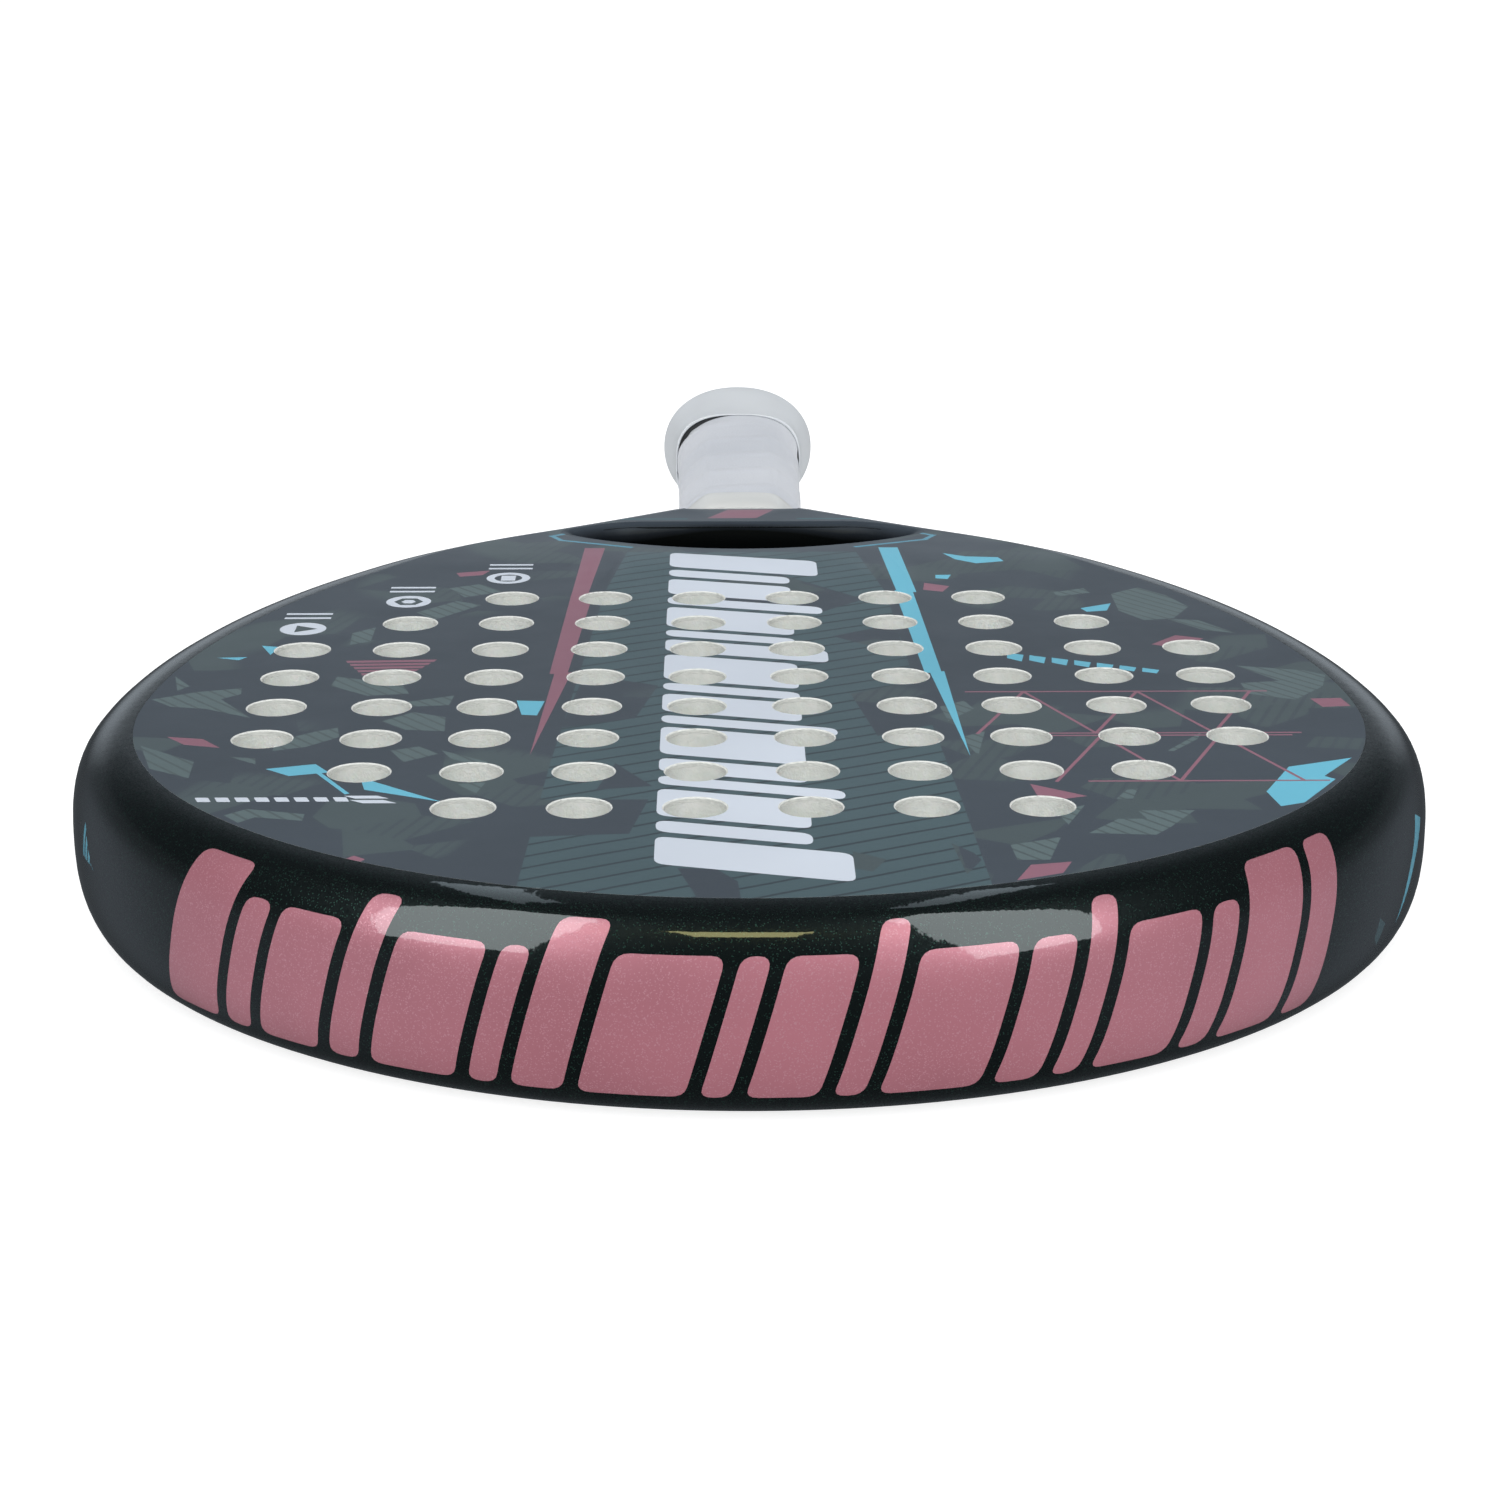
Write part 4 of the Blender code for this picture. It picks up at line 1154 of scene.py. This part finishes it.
def grip_radius(y, angle, dent=False):
    """Distance from the handle's axis to its surface: a rounded octagon that flares into the cap's collar."""
    stations = GRIP_STATIONS
    y = min(max(y, stations[0][0]), stations[-1][0])
    k = max(i for i in range(len(stations) - 1) if stations[i][0] <= y)
    share = (y - stations[k][0]) / (stations[k + 1][0] - stations[k][0])
    wide, thick, chamfer, hard = (a + (b - a) * share for a, b in zip(stations[k][1:], stations[k + 1][1:]))
    c, s = abs(math.cos(angle)), abs(math.sin(angle))
    diagonal = c * math.cos(CHAMFER_TURN) + s * math.sin(CHAMFER_TURN)
    total = (c / wide) ** hard + (s / thick) ** hard + (diagonal / chamfer) ** hard
    flared = ease(0, 1, (y - FLARE_START_Y) / (COLLAR_Y - FLARE_START_Y))
    radius = total ** (-1 / hard)
    radius += (oval_radius(angle, *FLARE_OVAL) - radius) * flared
    if dent:
        turn = math.degrees(angle)
        for first, deepest, last, depth in DENTS:
            rise = ease(0, depth, (turn - first) / (deepest - first))
            radius -= rise * ease(1, 0, (turn - deepest) / (last - deepest)) * flared
    return radius


def around(y, angle, radius):
    return Vector((radius * math.cos(angle), y, MID_Z + radius * math.sin(angle)))


WRAP_START_Y, WRAP_PITCH, WRAP_STEP = 178.0, 19.5, 0.3
# (share of a turn, rise) of the wrap's surface, from the lap's edge on
WRAP_PROFILE = (
    (0, 0), (0.006, 0.7), (0.02, 1), (0.18, 1), (0.24, 0.85), (0.30, 0.4), (0.36, 0.08), (0.45, 0), (0.6, 0),
    (0.8, 0),
)


def build_overgrip():
    """A strip wound from the butt to the neck: each turn laps over the one before it."""
    start, end = WRAP_START_Y, COLLAR_Y + 0.5
    turns = math.ceil((end - start) / WRAP_PITCH) + 2
    bm = bmesh.new()
    rings = []
    for turn in range(turns):
        for share, rise in WRAP_PROFILE:
            ring = []
            for i in range(HANDLE_SIDES):
                angle = 2 * math.pi * i / HANDLE_SIDES
                along = end + WRAP_PITCH - WRAP_PITCH * (turn + share) - WRAP_PITCH * i / HANDLE_SIDES
                wave = noise.noise(Vector((angle * 2.2, turn * 3.7, share))) * 0.06
                y = min(max(along, start), end)
                lap = rise * WRAP_STEP * ease(1, 0, (y - FLARE_START_Y) / 6)
                radius = grip_radius(y, angle, dent=True) + lap + wave
                if along >= end or along <= start:
                    radius = grip_radius(y, angle, dent=True)
                ring.append(around(y, angle, radius))
            rings.append(ring)
    # The seam from one turn to the next falls at angle 0, so each row there joins the next turn's row
    made = [[bm.verts.new(point * MM) for point in ring] for ring in rings]
    shift = len(WRAP_PROFILE)
    for r in range(len(made) - 1):
        for i in range(HANDLE_SIDES):
            j = (i + 1) % HANDLE_SIDES
            step = shift if j == 0 else 0
            low, high = r - step, r + 1 - step
            if low < 0:
                continue
            bm.faces.new((made[r][i], made[low][j], made[high][j], made[r + 1][i]))
    bmesh.ops.remove_doubles(bm, verts=bm.verts, dist=0.00002)
    inner = []
    for y in (start, end):
        angles = [2 * math.pi * i / HANDLE_SIDES for i in range(HANDLE_SIDES)]
        inner.append([around(y, angle, grip_radius(y, angle, dent=True) - 0.4) for angle in angles])
    loft(bm, inner)
    loose = [vert for vert in bm.verts if not vert.link_faces]
    bmesh.ops.delete(bm, geom=loose, context="VERTS")
    new_piece("overgrip_wrap", bm, ["overgrip"], slot="overgrip", replaces=["overgrip"], sharp=50)


def build_base_grip():
    """The cushion under the overgrip. Its end fills the collar and shows where the wrap dips."""
    outer, inner = [], []
    thin, thick = 0.5, 0.1
    stations = (
        (179, thin), (250, thin), (COLLAR_Y + 0.5, thin), (COLLAR_Y + 0.6, thick), (COLLAR_Y + 3.2, thick),
    )
    for y, under in stations:
        ring, bore = [], []
        for i in range(HANDLE_SIDES):
            angle = 2 * math.pi * i / HANDLE_SIDES
            radius = grip_radius(y, angle, dent=under == thin)
            ring.append(around(y, angle, radius - under))
            bore.append(around(y, angle, min(radius - 1.2, oval_radius(angle, 15.2, 12.0, 4.5))))
        outer.append(ring)
        inner.append(bore)
    tube("base_grip_cushion", outer + inner[::-1], "base_grip", "base_grip")


def build_tape():
    """Finishing tape: two flat turns that lap, pulled down tight over the end of the overgrip."""
    stations = (
        (176.9, 0.05), (177.1, 0.62), (177.6, 0.8), (183, 0.85), (186.6, 0.85), (186.9, 0.55),
        (190, 0.6), (192.6, 0.62), (193.2, 0.5), (193.3, 0.0),
    )
    outer, inner = [], []
    for y, rise in stations:
        ring, bore = [], []
        for i in range(HANDLE_SIDES):
            angle = 2 * math.pi * i / HANDLE_SIDES
            place = Vector((math.cos(angle) * 2.5, y * 0.22, math.sin(angle) * 2.5))
            ripple = noise.noise(place) * 0.16
            lean = 0.5 * math.sin(angle - 1.0) if 184 < y < 188 or y > 192 else 0
            radius = grip_radius(y, angle)
            ring.append(around(y + lean, angle, radius + rise + ripple * min(1, rise * 2)))
            bore.append(around(y + lean, angle, radius - 0.3))
        outer.append(ring)
        inner.append(bore)
    tube("finishing_tape_wrap", outer + inner[::-1], "finishing_tape", "finishing_tape")


def oval(y, half_w, half_t, power, sides=HANDLE_SIDES):
    ring = []
    for i in range(sides):
        angle = 2 * math.pi * i / sides
        c, s = math.cos(angle), math.sin(angle)
        x = half_w * math.copysign(abs(c) ** (2 / power), c)
        z = half_t * math.copysign(abs(s) ** (2 / power), s)
        ring.append(Vector((x, y, MID_Z + z)))
    return ring


BADGE_R, CORD_HOLE_R, BADGE_DEPTH = 12, 3.6, 1.5
CAVITY_R, CAVITY_FLOOR_Y, SKIRT_BORE = 8, 308.3, (14.2, 11, 4.5)
# (distance from the butt end, half-width, half-thickness, power) of the cap's outside, from the collar back
CAP_STATIONS = (
    (38.3, 17.75, 14.7, 3), (35, 17.95, 14.9, 2.8), (30, 18.6, 15.4, 2.6), (22, 20.2, 16.8, 2.3),
    (15.5, 21.4, 17.75, 2.15), (11, 21.2, 17.1, 2.15), (5, 20.4, 15.9, 2.15), (2, 19.4, 15.1, 2.15),
    (0.5, 18.2, 14.2, 2.15), (0, 16.8, 13.2, 2.15),
)


def smooth_stations(stations, steps):
    """A Catmull-Rom curve through rows of numbers."""
    rows = []
    for k in range(len(stations) - 1):
        before, a = Vector(stations[max(k - 1, 0)]), Vector(stations[k])
        b, after = Vector(stations[k + 1]), Vector(stations[min(k + 2, len(stations) - 1)])
        for i in range(steps):
            t = i / steps
            bend = (2 * before - 5 * a + 4 * b - after) * t * t + (3 * a - before - 3 * b + after) * t**3
            rows.append(a + ((b - before) * t + bend) / 2)
    return rows + [Vector(stations[-1])]


def build_cap():
    """The butt cap: skirt under the grip, hollow collar, flange, flat end with a recess, hole and cavity."""
    end = BUTT_Y
    floor = COLLAR_Y + COLLAR_DEPTH
    rings = [
        oval(CAP_LOW.y, 15.0, 11.7, 4.5),
        oval(floor, 15.0, 11.7, 4.5),
        oval(floor + 0.1, 17.3, 14.25, 2.7),
        oval(COLLAR_Y + 0.5, 17.34, 14.29, 2.7),
        oval(COLLAR_Y + 0.1, 17.4, 14.35, 2.75),
        oval(COLLAR_Y, 17.55, 14.5, 2.9),
    ]
    outside = smooth_stations(CAP_STATIONS, 4)
    rings += [oval(end - back, wide, thick, power) for back, wide, thick, power in outside]
    rings += [
        oval(end, BADGE_R + 0.5, BADGE_R + 0.3, 2),
        oval(end - 0.3, BADGE_R, BADGE_R, 2),
        oval(end - BADGE_DEPTH, BADGE_R, BADGE_R, 2),
        oval(end - BADGE_DEPTH, CORD_HOLE_R, CORD_HOLE_R, 2),
        oval(end - 5, CORD_HOLE_R, CORD_HOLE_R, 2),
        oval(end - 5, CAVITY_R, CAVITY_R, 2),
        oval(CAVITY_FLOOR_Y, CAVITY_R, CAVITY_R, 2),
        oval(CAVITY_FLOOR_Y, *SKIRT_BORE),
        oval(CAP_LOW.y, *SKIRT_BORE),
    ]
    tube("butt_cap_shell", rings, "cap_plastic", "butt_cap", sharp=50)


def build_badge():
    """The disc in the cap's end, turned with raised rings and a rounded hole."""
    profile = (
        (CORD_HOLE_R + 0.1, -1.2), (CORD_HOLE_R + 0.1, -0.2), (CORD_HOLE_R + 0.3, 0), (5.2, 0), (5.4, -0.25),
        (6.0, -0.25), (6.2, 0), (9.6, 0), (9.8, -0.25), (10.4, -0.25), (10.6, 0), (11.5, 0), (11.8, -0.25),
        (11.8, -1.2),
    )
    rings = [oval(BUTT_Y + back, radius, radius, 2) for radius, back in profile]
    tube("cap_end_disc", rings, "cap_plastic", "cap_badge", sharp=40)


# ---- Wrist strap ----

STRAP = next(joint for joint in frame["joints"] if joint["name"] == "strap_swing")
PIVOT = Vector(STRAP["pos_m"]) / MM
SLIDER_LOW, SLIDER_HIGH = box_mm("strap_slider")
CORD_R = 1.65
STRAND_X, EXIT_X = 4, 1.5
DROOP_END_Y, PARALLEL_END_Y = 360, 396
LOOP_R, LOOP_CENTRE_Y = 16, 431
LEVEL_Z = (SLIDER_LOW.z + SLIDER_HIGH.z) / 2
FLOOR_Z = 2.4


def cord_path():
    """Both strands of the cord, from inside the stopper, out to the loop and back."""
    half = [(EXIT_X, PIVOT.y - 4.5), (EXIT_X, PIVOT.y - 2)]
    for i in range(1, 17):
        t = i / 16
        half.append((ease(EXIT_X, STRAND_X, t), PIVOT.y - 2 + (DROOP_END_Y - PIVOT.y + 2) * t))
    half.append((STRAND_X, (DROOP_END_Y + PARALLEL_END_Y) / 2))
    for i in range(13):
        t = i / 12
        half.append((ease(STRAND_X, LOOP_R, t), PARALLEL_END_Y + (LOOP_CENTRE_Y - PARALLEL_END_Y) * t))
    for i in range(1, 13):
        angle = math.pi / 2 * i / 12
        half.append((LOOP_R * math.cos(angle), LOOP_CENTRE_Y + LOOP_R * math.sin(angle)))
    path = []
    for x, y in half + [(-x, y) for x, y in reversed(half[:-1])]:
        z = ease(PIVOT.z, LEVEL_Z, (y - PIVOT.y) / (DROOP_END_Y - PIVOT.y))
        z = ease(z, FLOOR_Z, (y - PARALLEL_END_Y) / (2 * LOOP_R))
        path.append(Vector((x, y, z)))
    return path


BRAID_STRANDS, BRAID_PITCH, BRAID_STEP, YARN_R = 4, 9.0, 0.75, 0.52


def build_cord():
    """A round braid: yarns that wind both ways and pass over and under each other."""
    line = spread(cord_path(), BRAID_STEP)
    for _ in range(6):
        middle = [(a + 2 * b + c) / 4 for a, b, c in zip(line, line[1:], line[2:])]
        line = line[:1] + middle + line[-1:]
    sides = [Vector((0, 0, 1))]
    tangents = []
    for i in range(len(line)):
        tangents.append((line[min(i + 1, len(line) - 1)] - line[max(i - 1, 0)]).normalized())
    for tangent in tangents[1:]:
        side = sides[-1] - tangent * sides[-1].dot(tangent)
        sides.append(side.normalized())
    bm = bmesh.new()
    for way in (-1, 1):
        for strand in range(BRAID_STRANDS):
            rings = []
            for i, centre in enumerate(line):
                phase = way * (2 * math.pi * (i * BRAID_STEP / BRAID_PITCH + strand / BRAID_STRANDS))
                weave = 0.2 * way * math.cos(BRAID_STRANDS * phase)
                reach = CORD_R - YARN_R - 0.05 + weave
                out = sides[i] * math.cos(phase) + tangents[i].cross(sides[i]) * math.sin(phase)
                flat = tangents[i].cross(out)
                ring = []
                for k in range(6):
                    turn = 2 * math.pi * k / 6
                    up = out * (reach + YARN_R * 0.7 * math.cos(turn))
                    ring.append(centre + up + flat * (YARN_R * 1.25 * math.sin(turn)))
                rings.append(ring)
            loft(bm, rings, caps=True)
    core = []
    for i, centre in enumerate(line[::2]):
        side, tangent = sides[2 * i], tangents[2 * i]
        across = tangent.cross(side)
        ring = []
        for k in range(8):
            turn = math.pi * k / 4
            ring.append(centre + (side * math.cos(turn) + across * math.sin(turn)) * (CORD_R - 0.75))
        core.append(ring)
    loft(bm, core, caps=True)
    settings = {"body": None, "slot": "strap_cord", "replaces": ["wrist_strap"], "sharp": 60}
    cord = new_piece("braided_cord", bm, ["strap_cord"], **settings)
    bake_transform(cord)


def build_stopper():
    """The bead inside the cap, with a ferrule that the cord's ends come out of."""
    bead_start, bead_end, neck_end = 310.6, BUTT_Y - 7, PIVOT.y - 2.3
    profile = [(0.01, bead_start), (3.6, bead_start)]
    for i in range(7):
        angle = math.pi / 2 * i / 6
        profile.append((4 + 1.5 * math.sin(angle), bead_start + 1.5 - 1.5 * math.cos(angle)))
    profile += [(5.5, bead_end - 1), (5.2, bead_end - 0.3), (4.4, bead_end), (3.2, bead_end)]
    profile += [(2.95, bead_end + 0.3), (2.95, neck_end - 2.2), (3.3, neck_end - 2.0)]
    profile += [(3.3, neck_end - 0.6), (3.05, neck_end)]
    profile += [(2.6, neck_end), (2.4, neck_end - 0.5), (2.4, bead_end + 2), (0.01, bead_end + 2)]
    bm = bmesh.new()
    loft(bm, [oval(y, radius, radius, 2, 40) for radius, y in profile], caps=True)
    settings = {"body": "stopper", "slot": "strap_plastic", "replaces": ["cord_stopper"]}
    new_piece("cord_ferrule", bm, ["strap_plastic"], **settings)


def rounded_box(width, height, radius, steps=6):
    points = []
    for corner in range(4):
        sx, sy = ((1, 1), (-1, 1), (-1, -1), (1, -1))[corner]
        for i in range(steps + 1):
            angle = math.pi / 2 * (corner + i / steps)
            x = sx * (width / 2 - radius) + radius * math.cos(angle)
            points.append((x, sy * (height / 2 - radius) + radius * math.sin(angle)))
    return points


def build_slider():
    """The adjuster: a soft-edged block with grip ribs and one slot for both strands."""
    wide, tall = SLIDER_HIGH.x - SLIDER_LOW.x, SLIDER_HIGH.z - SLIDER_LOW.z
    length = SLIDER_HIGH.y - SLIDER_LOW.y
    rings = []
    steps = 33
    for k in range(steps):
        t = k / (steps - 1)
        edge = min(t, 1 - t) * length
        soft = 1.3 * (1 - math.sqrt(max(0, 1 - (1 - min(edge, 1.3) / 1.3) ** 2)))
        rib = 0.25 * (1 - math.cos(2 * math.pi * t * 5)) * (1 if 0.15 < t < 0.85 else 0)
        shrink = 2 * (soft + rib)
        y = SLIDER_LOW.y + length * t
        box = rounded_box(wide - shrink, tall - shrink, 3.2 - soft)
        rings.append([Vector((x, y, LEVEL_Z + z)) for x, z in box])
    slot = []
    for t, flare in ((1, 0.6), (0.96, 0.15), (0.9, 0), (0.1, 0), (0.04, 0.15), (0, 0.6)):
        y = SLIDER_LOW.y + length * t
        slot.append([Vector((x, y, LEVEL_Z + z)) for x, z in rounded_box(12.4 + flare, 4.5 + flare, 2.1)])
    tube("cord_slider", rings + slot, "strap_plastic", "strap_slider", body="slider")


def dress_cad_nodes():
    """Gives every CAD node that is still shown its finished material."""
    finishes = {
        "handle_core": "handle_foam",
        "handle_sleeve": "handle_laminate",
        "cap_staple_front": "staple_steel",
        "cap_staple_back": "staple_steel",
    }
    for node, material in finishes.items():
        obj = frame["nodes"][node]
        obj.data.materials.clear()
        obj.data.materials.append(MATERIALS[material])


# ---- Stage: floor, lights and camera ----


def build_floor():
    bm = bmesh.new()
    bmesh.ops.create_grid(bm, x_segments=1, y_segments=1, size=6)
    mesh = bpy.data.meshes.new("floor")
    bm.to_mesh(mesh)
    bm.free()
    floor = bpy.data.objects.new("floor", mesh)
    bpy.context.scene.collection.objects.link(floor)
    g = Graph("floor_paper")
    grain = g.noise(700, 3)
    paper = {"Base_Color": (0.4, 0.4, 0.4), "Roughness": 0.9, "Normal": g.bump(grain, 0.02, 0.0003)}
    mesh.materials.append(g.finish(**paper, Emission_Color=(1, 1, 1), Emission_Strength=0.82))
    floor.visible_glossy = False


def direction(azimuth, elevation):
    """Unit vector: azimuth from -Y (the camera's side) towards +X, elevation above the table."""
    a, e = math.radians(azimuth), math.radians(elevation)
    return Vector((math.sin(a) * math.cos(e), -math.cos(a) * math.cos(e), math.sin(e)))


def area_light(name, azimuth, elevation, distance, size, power):
    """A soft lamp that lights the racket but does not show as a reflection."""
    data = bpy.data.lights.new(name, "AREA")
    data.shape = "RECTANGLE"
    data.size, data.size_y = size
    data.energy = power
    light = bpy.data.objects.new(name, data)
    bpy.context.scene.collection.objects.link(light)
    target = Vector((0, 0.05, 0.02))
    light.location = target + direction(azimuth, elevation) * distance
    light.rotation_euler = (target - light.location).to_track_quat("-Z", "Y").to_euler()
    light.visible_glossy = False


def emitter(name, colour, strength):
    material = bpy.data.materials.new(name)
    material.use_nodes = True
    tree = material.node_tree
    tree.nodes.clear()
    glow = tree.nodes.new("ShaderNodeEmission")
    glow.inputs["Color"].default_value = (*colour, 1)
    glow.inputs["Strength"].default_value = strength
    output = tree.nodes.new("ShaderNodeOutputMaterial")
    tree.links.new(glow.outputs[0], output.inputs["Surface"])
    return material


def card(name, corners, strength, colour, radius=2.5):
    """A glowing card that shows only as a reflection in the lacquer. Corners are (azimuth, elevation)."""
    verts, triangles, _ = triangulate([], [poly(*corners)], [])
    mesh = bpy.data.meshes.new(name)
    mesh.from_pydata([direction(*place) * radius for place in verts], [], triangles)
    obj = bpy.data.objects.new(name, mesh)
    bpy.context.scene.collection.objects.link(obj)
    obj.location = (0, -0.08, 0.03)
    mesh.materials.append(emitter(name, colour, strength))
    obj.visible_diffuse = False
    obj.visible_shadow = False
    obj.visible_camera = False


ROOM_LOW, ROOM_HIGH, ROOM_GLOW = (0.085, 0.097, 0.11), (0.035, 0.042, 0.05), (0.50, 0.56, 0.62)
FLOOR_MIDDLE, FLOOR_SIDES = (0.06, 0.067, 0.075), (0.20, 0.225, 0.26)


def build_world():
    """Even light for the diffuse side. Reflections see a dark room that glows low down behind the handle."""
    world = bpy.data.worlds.new("studio")
    bpy.context.scene.world = world
    world.use_nodes = True
    tree = world.node_tree
    tree.nodes.clear()

    def mix(share, a, b):
        node = tree.nodes.new("ShaderNodeMix")
        node.data_type = "RGBA"
        for index, value in ((0, share), (6, a), (7, b)):
            if isinstance(value, bpy.types.NodeSocket):
                tree.links.new(value, node.inputs[index])
            else:
                node.inputs[index].default_value = (*value, 1)
        return node.outputs[2]

    def rise(value, low, high):
        node = tree.nodes.new("ShaderNodeMapRange")
        node.interpolation_type = "SMOOTHSTEP"
        node.inputs["From Min"].default_value = low
        node.inputs["From Max"].default_value = high
        tree.links.new(value, node.inputs["Value"])
        return node.outputs[0]

    place = tree.nodes.new("ShaderNodeTexCoord").outputs["Generated"]
    split = tree.nodes.new("ShaderNodeSeparateXYZ")
    tree.links.new(place, split.inputs[0])
    path = tree.nodes.new("ShaderNodeLightPath")
    glow = mix(rise(split.outputs["Y"], 0.80, 0.97), ROOM_LOW, ROOM_GLOW)
    aside = tree.nodes.new("ShaderNodeMath")
    aside.operation = "ABSOLUTE"
    tree.links.new(split.outputs["X"], aside.inputs[0])
    floor = mix(rise(aside.outputs[0], 0.45, 0.9), FLOOR_MIDDLE, FLOOR_SIDES)
    room = mix(rise(split.outputs["Z"], 0.18, 0.34), glow, ROOM_HIGH)
    room = mix(rise(split.outputs["Z"], -0.1, 0.16), floor, room)
    both = mix(path.outputs["Is Glossy Ray"], (0.62, 0.63, 0.65), room)
    background = tree.nodes.new("ShaderNodeBackground")
    tree.links.new(both, background.inputs["Color"])
    output = tree.nodes.new("ShaderNodeOutputWorld")
    tree.links.new(background.outputs[0], output.inputs["Surface"])


SOFTBOX = (0.84, 0.93, 0.94)
SLATE = (0.75, 0.9, 1.0)
STRAW = (1.0, 0.95, 0.45)


def build_stage():
    build_floor()
    build_world()
    area_light("fill_top", 0, 86, 2.2, (2.6, 2.6), 17)
    area_light("fill_front", 0, 38, 2.4, (2.4, 1.6), 28)
    left = [
        (-58, 14), (-56, 25), (-61, 47), (-73, 62), (-113, 69), (-112, 75), (-83, 77), (-39, 58), (-34, 38),
        (-34, 18), (-43, 17), (-52, 15),
    ]
    right = [
        (80, 78), (132, 73), (96, 68), (61, 52), (54, 34), (55, 22), (53, 15), (42, 13), (33, 11), (32, 33),
        (33, 48), (49, 69),
    ]
    card("softbox_left", left, 4.7, SOFTBOX)
    card("softbox_right", right, 4.7, SOFTBOX)
    left = [(-175, 23), (-174, 26), (-170, 31), (-161, 50), (-153, 61), (-160, 56), (-168, 50)]
    right = [(173, 26), (169, 32), (167, 41), (161, 58), (165, 59), (171, 42)]
    card("crescent_left", left, 1.1, SLATE)
    card("crescent_right", right, 1.1, SLATE)
    card("strip", [(-24, 68), (-13, 59), (-2, 59.5), (10, 59), (18, 68), (-2, 67)], 6.0, STRAW)


CAMERA_PLACE, CAMERA_LENS = (-0.0064, -0.5974, 0.2142), 75.7
LOOK_DOWN, LOOK_RIGHT = math.radians(17.68), math.radians(0.635)


def build_camera():
    data = bpy.data.cameras.new("camera")
    data.lens = CAMERA_LENS
    data.sensor_width = 36
    data.clip_start = 0.01
    camera = bpy.data.objects.new("camera", data)
    bpy.context.scene.collection.objects.link(camera)
    camera.location = CAMERA_PLACE
    camera.rotation_euler = (math.pi / 2 - LOOK_DOWN, 0, -LOOK_RIGHT)
    bpy.context.scene.camera = camera


build_rim()
build_faces()
build_core()
build_throat()
build_lining()
build_overgrip()
build_base_grip()
build_tape()
build_cap()
build_badge()
build_cord()
build_stopper()
build_slider()
dress_cad_nodes()
build_stage()
build_camera()
bpy.context.scene.view_settings.view_transform = "Standard"
